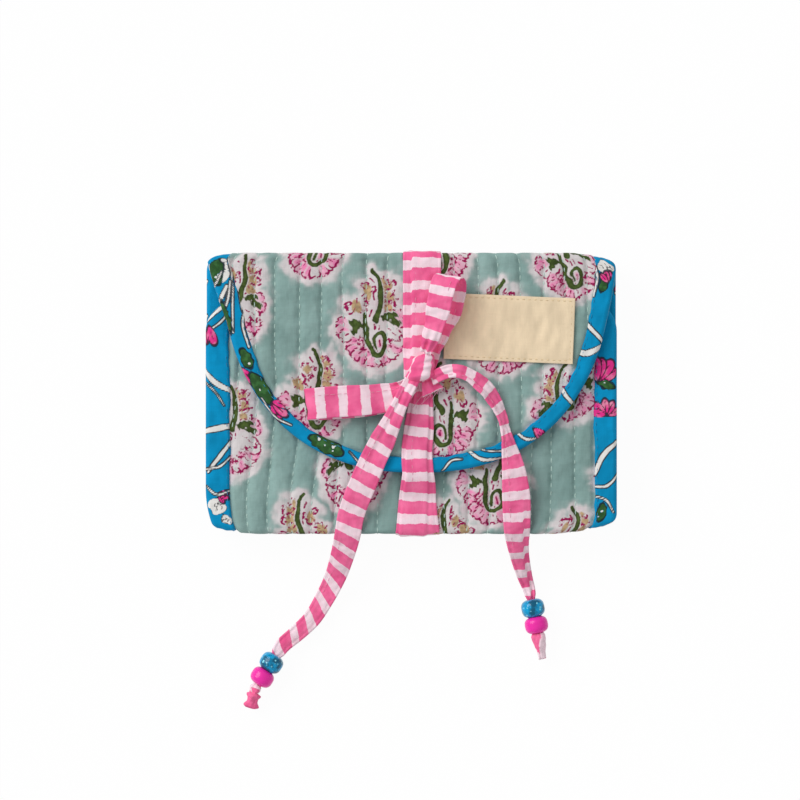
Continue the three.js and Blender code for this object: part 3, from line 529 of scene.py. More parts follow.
def sage_print(u, v, blocks):
    """The sage cloth: butas stamped as (x, y, turn, scale, mirror, hook, seed) says."""
    cloth = Print(u, v, SAGE)
    for x, y, turn, scale, mirror, hook, seed in blocks:
        buta(cloth, (x, y), math.radians(turn), scale, mirror, seed, hook)
    return cloth.near


BLUE = ("vine", "ink", "leaf", "bloom")


def vine(cloth, half, *line):
    """A pale vine through points given as x, y, x, y and so on, with a dark line down each side."""
    line = fine_line(np.reshape(line, (-1, 2)), 18)
    width = np.interp(np.linspace(0, 1, 18), [0, 0.5, 1], [half, half * 1.25, half])
    d = stroke(cloth.points, line, width)
    cloth.paint(ALL, "vine", d, over=("ink", "leaf", "bloom"))
    cloth.paint(ALL, "ink", np.abs(d + 0.05 * np.sin(cloth.points[:, 0] * 1.7)) - 0.3)


def blue_leaf(cloth, x, y, angle, size, wide, dots=0, seed=0):
    """A dark leaf or bud with an inked rim, and a few undyed dots in it."""
    p = shaken(cloth.points, 0.3, 5, 4)
    d = petal_shape(p, np.array([x, y]), math.radians(angle), size, wide, 0.2)
    cloth.inked("leaf", d, 0.26, ("vine", "bloom"))
    dice = np.random.default_rng(seed)
    c, s = math.cos(math.radians(angle)), math.sin(math.radians(angle))
    for _ in range(dots):
        along, across = dice.uniform(0.25, 0.8) * size, dice.uniform(-0.28, 0.28) * wide
        spot = np.array([x + c * along - s * across, y + s * along + c * across])
        dot = np.linalg.norm(p - spot, axis=1) - dice.uniform(0.35, 0.7)
        cloth.paint(ALL, "vine", dot, over=("leaf", "ink"))


def blue_bloom(cloth, x, y, angle, size, petals=5, spread=70, seed=0):
    """A fan of hot pink petals with inked ribs, growing from a point at an angle."""
    dice = np.random.default_rng(seed)
    root = np.array([x, y])
    for k in range(petals):
        a = math.radians(angle + spread * (k / max(petals - 1, 1) - 0.5) + dice.uniform(-5, 5))
        d = petal_shape(cloth.points, root, a, size * dice.uniform(0.85, 1.1), size * 0.42, 0.5)
        cloth.inked("bloom", d, 0.24, ("vine", "leaf"))
        rib = root + np.outer((0.3, 0.75), (math.cos(a), math.sin(a))) * size
        cloth.paint(ALL, "ink", stroke(cloth.points, rib, 0.2))


def scribble(cloth, x, y, size, seed=0):
    """A patch of undyed cloth with inked loops in it."""
    dice = np.random.default_rng(seed)
    p = shaken(cloth.points, 0.4, 8, 5)
    d = np.linalg.norm(p - (x, y), axis=1) - size
    cloth.inked("vine", d, 0.18, ("leaf", "bloom"))
    for _ in range(4):
        spot = np.array([x, y]) + dice.uniform(-0.6, 0.6, 2) * size
        loop = np.abs(np.linalg.norm(p - spot, axis=1) - size * dice.uniform(0.2, 0.4)) - 0.15
        cloth.paint(ALL, "ink", np.maximum(loop, d))


def blue_print(u, v, features):
    """The blue cloth: a list of calls, each a drawing function and what it takes."""
    cloth = Print(u, v, BLUE)
    for draw, *what in features:
        draw(cloth, *what)
    return cloth.near


# Finishes


class Finish:
    """A material and the nodes that its pattern needs, made by short calls."""

    def __init__(self, name, roughness=0.9, sheen=0.03, **constants):
        self.material = bpy.data.materials.new(name)
        self.material.use_nodes = True
        self.tree = self.material.node_tree
        self.shader = self.tree.nodes["Principled BSDF"]
        self.place = self.node("TexCoord").outputs["Object"]
        self.shader.inputs["Roughness"].default_value = roughness
        self.shader.inputs["Sheen Weight"].default_value = sheen
        self.shader.inputs["Sheen Roughness"].default_value = 0.5
        constants.setdefault("Specular_IOR_Level", 0.15 if roughness > 0.7 else 0.5)
        for key, value in constants.items():
            self.shader.inputs[key.replace("_", " ")].default_value = value

    def node(self, kind, inputs=None, **settings):
        made = self.tree.nodes.new(f"ShaderNode{kind}")
        for key, value in settings.items():
            setattr(made, key, value)
        for key, value in (inputs or {}).items():
            self.feed(made.inputs[key], value)
        return made

    def feed(self, socket, value):
        if isinstance(value, bpy.types.NodeSocket):
            self.tree.links.new(value, socket)
        else:
            socket.default_value = value

    def math(self, operation, *values):
        return self.node("Math", dict(enumerate(values)), operation=operation).outputs[0]

    def times(self, a, b):
        return self.math("MULTIPLY", a, b)

    def plus(self, a, b):
        return self.math("ADD", a, b)

    def field(self, name):
        return self.node("Attribute", attribute_name=name).outputs["Fac"]

    def cloth_place(self):
        """The cloth's own coordinates, in metres, from its along and across fields."""
        metres = [self.times(self.field(f), 0.001) for f in ("along", "across")]
        return self.node("CombineXYZ", dict(enumerate(metres))).outputs[0]

    def noise(self, size, detail=2.0, place=None, stretch=(1, 1, 1), shift=0.0):
        """Noise from 0 to 1, its grain about size millimetres and longer along a small stretch."""
        turned = self.node("Mapping", {"Vector": place or self.place,
            "Location": (shift, shift / 2, 0.3 * shift), "Scale": stretch}).outputs[0]
        return self.node("TexNoise", {"Vector": turned, "Scale": 1000 / size, "Detail": detail}).outputs[0]

    def uneven(self, size, detail, amount, place=None):
        """Noise about 0, up to half the amount either way."""
        return self.times(self.math("SUBTRACT", self.noise(size, detail, place), 0.5), amount)

    def step(self, value, low, high):
        """0 below low and 1 above high, or the other way round where low is the larger."""
        return self.node("MapRange", {0: value, 1: low, 2: high},
            interpolation_type="SMOOTHSTEP").outputs[0]

    def patches(self, size, detail, low, high, **how):
        """Noise sharpened to soft-edged patches."""
        return self.step(self.noise(size, detail, **how), low, high)

    def mix(self, share, a, b, blend="MIX"):
        made = self.node("Mix", data_type="RGBA", blend_type=blend)
        for k, value in ((0, share), (6, a), (7, b)):
            plain = k and not isinstance(value, bpy.types.NodeSocket)
            self.feed(made.inputs[k], (*value, 1) if plain else value)
        return made.outputs[2]

    def print_over(self, base, ink, name, rough, low, high, share=1.0):
        """A colour printed over another where its field, made rough, is below its edge."""
        inside = self.step(self.plus(self.field(name), rough), low, high)
        return self.mix(self.times(inside, share), base, ink)

    def weave(self, place=None, thread=0.42, slub=6.0):
        """The two thread systems of a plain weave, as one value about 0.5."""
        k = thread / slub
        warp = self.noise(thread, 1.0, place, (1, k, 1))
        weft = self.noise(thread, 1.0, place, (k, 1, 1), 0.37)
        return self.times(self.plus(warp, weft), 0.5)

    def finish(self, colour_out, heights=(), strength=0.5, distance=0.0003):
        """Sets the colour, and bumps the surface by the sum of (height, share) pairs."""
        self.feed(self.shader.inputs["Base Color"], colour_out)
        total = 0.0
        for height, share in heights:
            total = self.plus(total, self.times(height, share))
        bump = self.node("Bump", {"Height": total, "Strength": strength, "Distance": distance})
        self.feed(self.shader.inputs["Normal"], bump.outputs[0])
        return self.material


def shade(tint, by):
    """A colour made darker or lighter."""
    return tuple(min(1, by * c) for c in tint)


def worn(finish, colour_in, weave, amount=0.16, place=None):
    """Cotton's own unevenness: threads, faint clouds and rubbed patches in a colour."""
    cloud = finish.noise(14, 3.0, place, shift=0.9)
    level = finish.math("MULTIPLY_ADD", weave, amount * 1.3, 1 - amount * 0.65)
    level = finish.math("MULTIPLY_ADD", finish.math("SUBTRACT", cloud, 0.5), amount, level)
    grey = finish.node("CombineXYZ", {0: level, 1: level, 2: level}).outputs[0]
    return finish.mix(1.0, colour_in, grey, "MULTIPLY")


def sage_finish(look):
    """Sage cotton with its block print, from the fields that sage_print gives."""
    f = Finish("sage_block_print")
    edge, rough = f.uneven(1.1, 3.0, 0.7), f.uneven(3.0, 3.0, 1.5)
    weave = f.weave()
    base = f.mix(f.times(f.patches(22, 3.0, 0.34, 0.66), 0.6), look.ground, look.deep)
    streak = f.patches(5, 2.0, 0.3, 0.72, stretch=(1, 0.2, 1))
    base = f.mix(f.times(streak, 0.3), base, look.deep)
    base = f.print_over(base, look.halo, "halo", rough, 2.2, -1.2, 0.4)
    tint = f.mix(f.patches(6, 2.0, 0.5, 0.85), look.halo, f.mix(0.22, look.halo, look.petal))
    base = f.print_over(base, tint, "halo", rough, 0.9, -1.1, 0.9)
    petal = f.mix(f.patches(2.8, 3.0, 0.3, 0.7), look.petal, f.mix(0.55, look.petal, look.halo))
    base = f.print_over(base, petal, "petal", f.times(rough, 0.7), 0.7, -0.7, 0.95)
    mustard = f.mix(f.patches(1.5, 2.0, 0.35, 0.7), look.floret, shade(look.floret, 0.62))
    base = f.print_over(base, mustard, "floret", edge, 0.35, -0.4, 0.9)
    leaf = f.mix(f.patches(1.8, 2.0, 0.3, 0.7), look.stem, shade(look.stem, 0.5))
    heart = f.times(f.step(f.field("stem"), -0.8, -0.3), 0.45)
    base = f.print_over(base, f.mix(heart, leaf, shade(look.stem, 0.28)), "stem", edge, 0.2, -0.25)
    broken = f.patches(1.7, 2.0, 0.38, 0.5, shift=0.2)
    base = f.print_over(base, look.outline, "outline", f.times(edge, 0.45), 0.14, -0.1, broken)
    return f.finish(worn(f, base, weave, 0.2), [(weave, 1.0), (f.noise(1.6, 2.0), 0.7)], 0.5)


def blue_finish(look):
    """Cerulean cotton with vines, leaves and flowers, from the fields that blue_print gives."""
    f = Finish("blue_block_print")
    edge = f.uneven(1.0, 3.0, 0.4)
    weave = f.weave()
    cloud = f.times(f.patches(12, 3.0, 0.35, 0.7), 0.5)
    base = f.mix(cloud, look.ground, shade(look.ground, 0.72))
    leaf = f.mix(f.patches(2.4, 3.0, 0.42, 0.72), look.leaf, shade(look.leaf, 1.9))
    bloom = f.mix(f.patches(3.0, 2.0, 0.45, 0.8), look.bloom, f.mix(0.4, look.bloom, look.vine))
    for name, ink in (("vine", look.vine), ("leaf", leaf), ("bloom", bloom)):
        base = f.print_over(base, ink, name, edge, 0.1, -0.12)
    base = f.print_over(base, look.ink, "ink", f.times(edge, 0.6), 0.09, -0.1, 0.9)
    return f.finish(worn(f, base, weave, 0.12), [(weave, 1.0), (f.noise(2.0, 2.0), 0.8)], 0.45)


def tie_finish(look):
    """Pink and off-white printed stripes across the cloth, from its along and across fields."""
    f = Finish("tie_stripe_cotton", roughness=0.88)
    place = f.cloth_place()
    at = f.plus(f.plus(f.field("along"), f.uneven(4, 2.0, 1.5, place)), f.uneven(0.7, 2.0, 0.5, place))
    wave = f.math("PINGPONG", f.math("DIVIDE", at, mm(look.period) / 2), 1.0)
    weave = f.weave(place, 0.4, 4.0)
    deep = tuple(c * k for c, k in zip(look.pink, (0.86, 0.55, 0.72)))
    pink = f.mix(f.patches(7, 3.0, 0.3, 0.72, place=place), look.pink, deep)
    pale = f.mix(f.patches(4, 3.0, 0.45, 0.8, place=place, shift=0.4), look.white,
        f.mix(0.25, look.white, look.pink))
    base = f.mix(f.step(wave, 0.54, 0.61), pink, pale)
    return f.finish(worn(f, base, weave, 0.12, place), [(weave, 1.0), (f.noise(1.8, 2.0, place), 0.9)],
        0.45)


def plain_cotton(name, tint, place_on_cloth=False, thread=0.42, amount=0.14, strength=0.5):
    """Undyed or dyed plain cotton: a weave, faint clouds and soft creases."""
    f = Finish(name)
    place = f.cloth_place() if place_on_cloth else None
    weave = f.weave(place, thread)
    crease = f.noise(6, 3.0, place, (1, 0.4, 1))
    base = f.mix(f.step(crease, 0.35, 0.7), tint, shade(tint, 0.86))
    return f.finish(worn(f, base, weave, amount, place), [(weave, 1.0), (crease, 1.4)], strength)


def thread_finish(name, tint):
    """Twisted sewing thread: fine slanting plies, slightly shiny."""
    f = Finish(name, roughness=0.6, sheen=0.25)
    ply = f.noise(0.3, 1.0, stretch=(1, 0.4, 1))
    base = f.mix(ply, tint, shade(tint, 0.78))
    return f.finish(base, [(ply, 1.0)], 0.4, 0.0001)


def glass_finish(look):
    """Blue glass with glitter in it: bright flecks and darker depths under a clear gloss."""
    f = Finish("blue_glass_bead", roughness=0.16, sheen=0.0, Coat_Weight=0.15, Coat_Roughness=0.05,
        IOR=1.45, Specular_IOR_Level=0.35)
    fleck = f.node("TexVoronoi", {"Vector": f.place, "Scale": 780.0})
    spark = f.step(fleck.outputs["Distance"], 0.42, 0.22)
    lit = f.step(f.node("SeparateColor", {0: fleck.outputs["Color"]}).outputs[0], 0.45, 0.75)
    base = f.mix(f.patches(3.2, 2.0, 0.4, 0.6), shade(look.blue_bead, 0.3), look.blue_bead)
    base = f.mix(f.times(spark, lit), base, (0.3, 0.82, 0.95))
    return f.finish(base, [(f.noise(0.9, 2.0), 1.0)], 0.3, 0.0003)


def glaze_finish(look):
    """Opaque pink bead: an even glaze with faint flow marks."""
    f = Finish("pink_glazed_bead", roughness=0.3, sheen=0.0, Coat_Weight=0.15, Coat_Roughness=0.06,
        Specular_IOR_Level=0.3)
    flow = f.noise(3.0, 2.0)
    base = f.mix(flow, look.pink_bead, shade(look.pink_bead, 0.8))
    return f.finish(base, [(flow, 1.0)], 0.12, 0.0003)


def brass_finish(look):
    """Rubbed brass: fine scratches, tarnished hollows and a soft gloss."""
    f = Finish("rubbed_brass", roughness=0.32, sheen=0.0, Metallic=1.0)
    scratch = f.noise(0.5, 2.0, stretch=(1, 0.08, 1))
    base = f.mix(f.patches(3.0, 3.0, 0.4, 0.75), look.brass, shade(look.brass, 0.6))
    f.feed(f.shader.inputs["Roughness"], f.math("MULTIPLY_ADD", scratch, 0.2, 0.25))
    return f.finish(base, [(scratch, 1.0)], 0.25, 0.0001)


def coil_finish(tint):
    """Nylon of a zip's coil: translucent-looking, with a rib for each turn."""
    f = Finish("zip_coil_nylon", roughness=0.42, sheen=0.0)
    rib = f.node("TexWave", {"Vector": f.place, "Scale": 155.0, "Distortion": 0.2},
        bands_direction="X").outputs[1]
    base = f.mix(rib, shade(tint, 0.72), tint)
    return f.finish(base, [(rib, 1.0)], 0.6, 0.0004)


# The case's surfaces: every panel is a path in Y and Z, carried across the width


class Case:
    """The case's sizes in millimetres, and the paths that its cloth follows."""

    def __init__(self, context):
        for key in CaseSizes.__annotations__:
            setattr(self, key, mm(getattr(context.scene.organizer_case, key)))
        self.top_seam, self.bottom_seam = 8.0, 6.0
        bent = (math.pi / 2 - 1) * self.fold
        self.seam_run = self.half_height - self.fold + bent + self.flap_face - self.top_seam
        self.back_run = (self.top_seam + self.bottom_seam + (math.pi - 4) * self.bend
            + 2 * self.half_height)
        self.leaf_run = self.seam_run + self.back_run + bent + self.leaf_face - self.bottom_seam
        self.leaf_print = self.leaf_run + self.half_height - self.fold

    def route(self, part, depth=0.0, step=0.5):
        """(y, z), outward normal, print coordinate v and run along the case, row by row.

        Depth is how far in from the outer face the path lies. Corners are quarter circles.
        """
        h, bend = self.half_height, self.bend
        r = 2.5 if depth > self.fold else self.fold - depth
        if part == "flap":
            y, z = h - depth, self.flap_face - depth
            line = [(y, self.top_seam), *quarter((y - r, z - r), r, 0, 90), (h - self.flap_depth, z)]
        elif part == "leaf":
            y, z = depth - h, self.leaf_face - depth
            line = [(y, self.bottom_seam), *quarter((y + r, z - r), r, 180, 90), (self.leaf_end, z)]
        else:
            r = bend - depth
            line = [(h - depth, self.top_seam), *quarter((h - bend, bend), r, 0, -90),
                *quarter((bend - h, bend), r, 270, 180), (depth - h, self.bottom_seam)]
        line = np.array(line, float)
        along = run_along(line)
        even = np.linspace(0, along[-1], max(2, round(along[-1] / step)) + 1)
        yz = read_at(even, along, line)
        tangent = unit(np.gradient(yz, axis=0))
        normal = np.stack([tangent[:, 1], -tangent[:, 0]], 1) * (1 if part == "flap" else -1)
        left = along[-1] - even
        if part == "back":
            v = self.seam_run + even
        else:
            v = h - self.flap_depth + left if part == "flap" else self.leaf_end - left
        return yz, normal, v, v + self.leaf_print if part == "leaf" else v

    def shift(self, run):
        """Where stitched line 0 lies across the width."""
        return -1.2 - 3.6 * np.clip((run - self.seam_run) / self.back_run, 0, 1)

    def bound(self, part):
        """How wide a panel's binding lies on it."""
        return self.flap_binding if part == "flap" else self.side_binding

    def tucked(self, points):
        """Draws the cloth in at the case's four corners.

        The width shrinks by 3 mm at a fold, as a power of the way over the last 7 mm, or 18 mm at
        the lower left. The folds curve in towards the sides by up to 3.6 mm, and both sides lean
        0.7 mm to the left.
        """
        x, y = points[..., 0], points[..., 1]
        left, low = x < 0, y < 0
        reach, power = np.where(left & low, 18, 7), np.where(left & low, 1.8, 2.5)
        t = np.clip((np.abs(y) - self.half_height + reach) / reach, 0, 1)
        start = np.where(low, np.where(left, 66, 56), np.where(left, 72, 64))
        rise = np.where(low, np.where(left, 2.6, 3.6), np.where(left, 1.0, 2.4))
        out = np.clip((np.abs(x) - start) / (self.half_width - start), 0, 1) ** 1.7
        near = np.clip((np.abs(y) - self.half_height + 16) / 16, 0, 1) ** 1.5
        points = points.copy()
        lean = 0.7 * (x / self.half_width) ** 4
        points[..., 0] = x * (1 - 3 * t ** power / self.half_width) - lean
        points[..., 1] = y - np.sign(y) * rise * out * near
        return points

    def flap_outline(self, step=0.5):
        """The flap's edge from its right fold corner to its left: half a superellipse of power
        2.3, flared to the case's full width towards its fold."""
        a = np.linspace(0, math.pi, 4001)
        power = 2 / 2.3
        side = np.where(np.cos(a) >= 0, 1, -1)
        depth = self.flap_depth * np.abs(np.sin(a)) ** power
        half = self.half_width - self.flap_inset
        flare = self.half_width - half - side * self.flap_shift
        flared = flare * np.clip(1 - depth / self.flap_flare, 0, 1) ** 1.1
        x = self.flap_shift + side * (half * np.abs(np.cos(a)) ** power + flared)
        return even_line(np.column_stack([x, self.half_height - depth]), step)

    def leaf_outline(self, step=0.5):
        """The front leaf's edge from its right fold end, round its two corners, to its left."""
        w, r = self.half_width, self.corner
        c = self.leaf_end - r
        line = [(w, -self.half_height), *quarter((w - r, c), r, 0, 90), *quarter((r - w, c), r, 90, 180),
            (-w, -self.half_height)]
        return even_line(np.array(line, float), step)


def quarter(centre, radius, start, end, count=13):
    a = np.radians(np.linspace(start, end, count))
    return list(zip(centre[0] + radius * np.cos(a), centre[1] + radius * np.sin(a)))


def way_in(case, line, part):
    """The direction in from an edge at each of its points: its normal, turned level at the fold."""
    tangent = unit(np.gradient(line, axis=0))
    if part == "flap":
        normal = np.column_stack([tangent[:, 1], -tangent[:, 0]])
        normal[:, 1] *= np.clip((case.half_height - line[:, 1]) / case.flap_flare, 0, 1)
    else:
        normal = np.column_stack([-tangent[:, 1], tangent[:, 0]])
    return unit(normal)


def edge_distance(case, part, x, y):
    """How far points of a folding panel's face lie in from its bound edge."""
    line = case.flap_outline(2.0) if part == "flap" else case.leaf_outline(2.0)
    p = np.column_stack([np.ravel(x), np.ravel(y)])
    best = np.min([segment_distance(p, a, b)[0] for a, b in zip(line[:-1], line[1:])], axis=0)
    return best.reshape(np.shape(x))


def panel_grid(case, part, x, yz, normal, margin):
    """A grid over columns x and the rows of a route, held in from the outline of a folding panel by
    the margin, and how far in from its bound edge each point lies."""
    x, y, z = np.broadcast_arrays(x, yz[:, :1], yz[:, 1:])
    inset = case.half_width - np.abs(x)
    if part == "back":
        return x, y, z, inset
    face = normal[:, 1:] > 0.999
    line = case.flap_outline() if part == "flap" else case.leaf_outline()
    order = np.argsort(line[:, 0])
    edge = np.interp(x, line[order, 0], line[order, 1])
    held = np.maximum(y, edge + margin) if part == "flap" else np.minimum(y, edge - margin)
    y = np.where(face, held, y)
    return x, y, z, np.where(face, edge_distance(case, part, x, y), inset)


def line_place(case, k, run, look):
    """Where the k-th stitched line runs: its pitch, a hand's slow wander, and on the front leaf
    the lean of the lines at the left."""
    offset = 0.45 * math.sin(k * 2.4 + 0.6)
    wander = 0.32 * np.sin(run / 17 + 1.7 * k) + 0.16 * np.sin(run / 6.1 + 2.9 * k)
    up = run - case.leaf_run
    near = np.exp(np.minimum(up, 0) / 20)
    lean = np.where(up > 0, up - 12, -12 * near) * 0.12
    moved = lean * np.clip(-k / 3, 0, 1) - 1.8 * near * np.clip((k - 4) / 3, 0, 1)
    return case.shift(run) + k * mm(look.pitch) + offset + wander + moved


LINES = range(-10, 11)


def quilt_drop(case, x, run, look):
    """How far the quilt lies below its crest.

    A stitched line pulls it in by the groove's depth times exp(-(s/1.2)^1.3) at a distance s.
    Puckers run across each line and die out beside it, over a slow unevenness of the batting.
    """
    near = np.full(np.shape(x), 99.0)
    which = np.zeros(np.shape(x))
    for k in LINES:
        d = np.abs(x - line_place(case, k, run, look))
        which = np.where(d < near, k, which)
        near = np.minimum(near, d)
    pull = mm(look.groove) * np.exp(-(near / 1.2) ** 1.3)
    crown = 0.22 * np.clip(1 - near / (mm(look.pitch) / 2), 0, 1) ** 2
    seed = look.seed
    bunch = 0.2 * np.exp(-near / 2.6) * ripple(run, near + 37 * which, seed, 3.6)
    crease = 0.13 * ripple(run, 0.35 * x + 11 * which, seed + 1, 7)
    slow = 0.16 * ripple(x, run, seed + 2, 26)
    return pull + crown + bunch + crease + slow + 0.25


def quilt_points(case, part, look, x, yz, normal, run):
    """The quilt's outer face over columns x and the rows of a route, held down by its binding.

    Under the binding the face lies 1.3 mm deep, and it rises over 2 mm beside it. The quilt is
    drawn taut round a fold, and pressed down there under the band.
    """
    x, y, z, inset = panel_grid(case, part, x, yz, normal, 1.1)
    held = 1 - ease(inset, case.bound(part) - 0.2, case.bound(part) + 2.0)
    drop = quilt_drop(case, x, run[:, None], look)
    taut = 1 - 0.72 * np.clip(np.abs(normal[:, :1]), 0, 1) ** 1.5
    drop = (drop * taut - 0.55 * (1 - taut)) * (1 - held) + 1.3 * held
    pressed = {"flap": np.clip(normal[:, :1], 0, 1) ** 0.5, "leaf": 0,
        "back": np.clip(-normal[:, 1:], 0, 1) ** 4}[part]
    under = 1 - ease(np.abs(x - BAND_X), 6.9, 8.1)
    drop = drop + pressed * under * np.maximum(0, 1.5 - drop)
    return np.stack([x, y - normal[:, :1] * drop, z - normal[:, 1:] * drop], -1), inset


def panel_mesh(name, case, points, normal, material, fields=None):
    """A panel's grid as a mesh, without the cells that were pressed flat at its curved edge."""
    rows, columns = points.shape[:2]
    faces = grid_faces(rows, columns)
    flat = points.reshape(-1, 3)
    a, b, c, d = (flat[faces[:, k]] for k in range(4))
    faces = faces[np.linalg.norm(np.cross(c - a, d - b), axis=1) > 1e-3]
    a, b, c = flat[faces[0, :3]]
    facing = np.cross(b - a, c - a)[1:] @ normal[faces[0, 0] // columns]
    if facing < 0:
        faces = faces[:, ::-1]
    used, renumbered = np.unique(faces, return_inverse=True)
    kept = {key: np.ravel(values)[used] for key, values in (fields or {}).items()}
    renumbered = renumbered.reshape(faces.shape).tolist()
    return put_mesh(name, case.tucked(flat[used]), renumbered, material, kept)


FLAP_BUTAS = [(-17, 29.2, 2, 1.04, 0, 1), (-73, 37.6, -4, 0.95, 0, 0), (-41.4, -1.5, 3, 0.95, 0, 1),
    (-41.5, 65.6, -3, 1, 0, 1), (11.5, 61.5, 6, 0.95, 1, 1), (37.7, 26, -2, 1, 1, 0),
    (63.5, 55.6, 8, 0.95, 0, 1), (13.5, -8, 4, 1, 1, 1), (62, -8, -6, 0.95, 1, 0), (-14, 92, 4, 1, 1, 0),
    (39, 92, -3, 1, 1, 1), (-69, 91, 2, 1, 0, 1)]
LEAF_BUTAS = [(-75.6, -15.5, 5, 1, 0, 0), (-44.6, -62, -3, 1, 1, 0), (-24.4, -30.6, 4, 0.95, 1, 0),
    (32, -35.2, -5, 1, 0, 1), (17, -63, 3, 0.95, 1, 0), (65, -66.2, 2, 0.95, 0, 0), (66, 6, -4, 0.95, 1, 1),
    (87.5, -31.4, 4, 0.9, 0, 0), (-62, 34, 0, 1, 0, 1), (-24, 26, 3, 1, 1, 1), (14, 22, -4, 1, 0, 0),
    (-14, -92, 0, 1, 0, 0), (-72, -92, 3, 1, 1, 1), (41, -94, -3, 1, 1, 0)]


def butas(case, part, v):
    """The butas that reach a panel, in its print coordinate.

    All panels share one print, which runs on over their seams. Round the back it stands in
    half-drop rows, 26 mm across and 52 mm down, kept 29 mm away from the front's butas.
    """
    over = case.leaf_print
    front = [(x, at + up, *rest, 11 * k + 3)
        for up, places in ((0, FLAP_BUTAS), (over, LEAF_BUTAS))
        for k, (x, at, *rest) in enumerate(places)]
    behind = []
    for k in range(-3, 4):
        for row in range(5):
            x = k * 26 + 3 * math.sin(2 * k + row)
            at = case.seam_run - 14 + row * 52 + 26 * (k % 2) + 2 * math.sin(k + 3 * row)
            clear = min(math.hypot(x - other[0], at - other[1]) for other in front) > 29
            if clear and 76 < at < over - 76:
                behind.append((x, at, 5 * math.sin(k * row + 1), 0.95, (k + row) % 2, row % 2,
                    55 * k + 11 * row + 311))
    down = over if part == "leaf" else 0
    return [(x, at - down, *rest) for x, at, *rest in front + behind
        if v.min() - 30 < at - down < v.max() + 30]


def build_quilt(context, part, material, thread):
    """One outer panel with its print, its puckered quilting and its running stitches."""
    case, look = Case(context), context.scene.organizer_quilt
    step = 0.7 if part == "back" else 0.5
    yz, normal, v, run = case.route(part, 0.0, step)
    reach = case.half_width - 1.1
    x = np.linspace(-reach, reach, round(2 * reach / step) + 1)[None, :]
    points, _ = quilt_points(case, part, look, x, yz, normal, run)
    v = np.broadcast_to(v[:, None], points.shape[:2])
    if part != "back":
        v = np.where(normal[:, 1:] > 0.999, points[..., 1], v)
    fields = sage_print(points[..., 0], v, butas(case, part, v))
    piece = panel_mesh(f"{part}_quilt", case, points, normal, material, fields)

    bars = []
    width = case.bound(part)
    for k in LINES:
        line_x = line_place(case, k, run, look)[:, None]
        path, inset = quilt_points(case, part, look, line_x, yz, normal, run)
        moving = np.abs(np.diff(path[:, 0, 1:], axis=0, prepend=path[:1, 0, 1:] - 1)).sum(1) > 0.2
        on_side = np.abs(line_x[:, 0]) < case.half_width - width
        rows = np.nonzero((inset[:, 0] > width + 0.9) & moving & on_side)[0]
        if len(rows) < 8:
            continue
        chosen = slice(rows[0], rows[-1] + 1)
        up = np.column_stack([0 * run, normal])[chosen]
        bars += stitch_row(case.tucked(path[chosen, 0]), up, mm(look.stitch), mm(look.gap), 0.46, sink=0.12,
            start=(k * 1.7) % 3)
    return piece, merge_meshes(f"{part}_quilting_thread", bars, thread)


def build_lining(context, part, material):
    """A panel's lining: laid flat against the quilt, dimpled under its stitched lines."""
    case, look = Case(context), context.scene.organizer_quilt
    yz, normal, _, run = case.route(part, case.panel - 0.2, 1.2)
    run = run[:, None]
    reach = case.half_width - 2.2
    x, y, z, inset = panel_grid(case, part, np.linspace(-reach, reach, 140)[None, :], yz, normal, 2.2)
    width = case.bound(part)
    near = np.min([np.abs(x - line_place(case, k, run, look)) for k in LINES], axis=0)
    rise = (0.75 * (1 - ease(inset, width - 0.1, width + 1.4))
        + 0.35 * np.exp(-(near / 1.1) ** 2) + 0.07 * ripple(x, run, 21, 9))
    points = np.stack([x, y + normal[:, :1] * rise, z + normal[:, 1:] * rise], -1)
    return panel_mesh(f"{part}_lining_cloth", case, points, -normal, material)


# Bindings, worked out in a panel's flattened plane: x across, v along its path


def soft_least(a, b, blur=0.5):
    """The smaller of two values, turning smoothly from one to the other."""
    return b - blur * np.logaddexp(0, (b - a) / blur)


def lift(case, part, x, v, depth):
    """Points of a panel from its flattened plane and their depth below its outer face: a straight
    mix of that face and the inner one, which stops at the inner corner of a fold."""
    yz, normal, at, _ = case.route(part, 0.0, 0.25)
    order = np.argsort(at)
    rows = read_at(v, at[order], np.hstack([yz, normal])[order])
    y, z, ny, nz = np.moveaxis(rows, -1, 0)
    if part == "back":
        return np.stack([x, y - ny * depth, z - nz * depth], -1)
    face, side = (case.flap_face, 1) if part == "flap" else (case.leaf_face, -1)
    inner_y = side * soft_least(side * y, case.half_height - case.panel)
    inner_z = soft_least(z, face - case.panel)
    share = depth / case.panel
    return np.stack([x, y + (inner_y - y) * share, z + (inner_z - z) * share], -1)


def bound_edge(case, part, side=1, step=0.6):
    """A panel's bound edge in its flattened plane, the way in from it, and the binding's width."""
    w, h = case.half_width, case.half_height
    if part == "back":
        v = np.linspace(case.seam_run, case.seam_run + case.back_run, 420)
        line = np.column_stack([side * w + 0 * v, v])
        return line, np.tile([-float(side), 0.0], (len(v), 1)), case.side_binding + 0 * v
    up, edge, end = 1, case.flap_outline(step), case.seam_run
    if part == "leaf":
        up, edge, end = -1, case.leaf_outline(step), case.route("leaf")[2].min()
    right = [(w, v) for v in np.arange(end, up * (h + 0.3), -up * step)]
    left = [(-w, v) for v in np.arange(up * (h + step), end, up * step)]
    line = np.vstack([right, edge, left, (-w, end)])
    into = way_in(case, line, part)
    outside = np.abs(line[:, 1]) > h - 0.5
    into[outside] = np.column_stack([-np.sign(line[:, 0]), 0 * line[:, 0]])[outside]
    return line, into, binding_width(case, part, line[:, 1])


def binding_width(case, part, v):
    """How wide a binding shows: round the flap it narrows from its fold's width to its tip's."""
    if part == "leaf":
        return case.side_binding + 0 * v
    more = case.side_binding - 0.6 - case.flap_binding
    return case.flap_binding + more * (1 - ease(case.half_height - v, 4, 62))


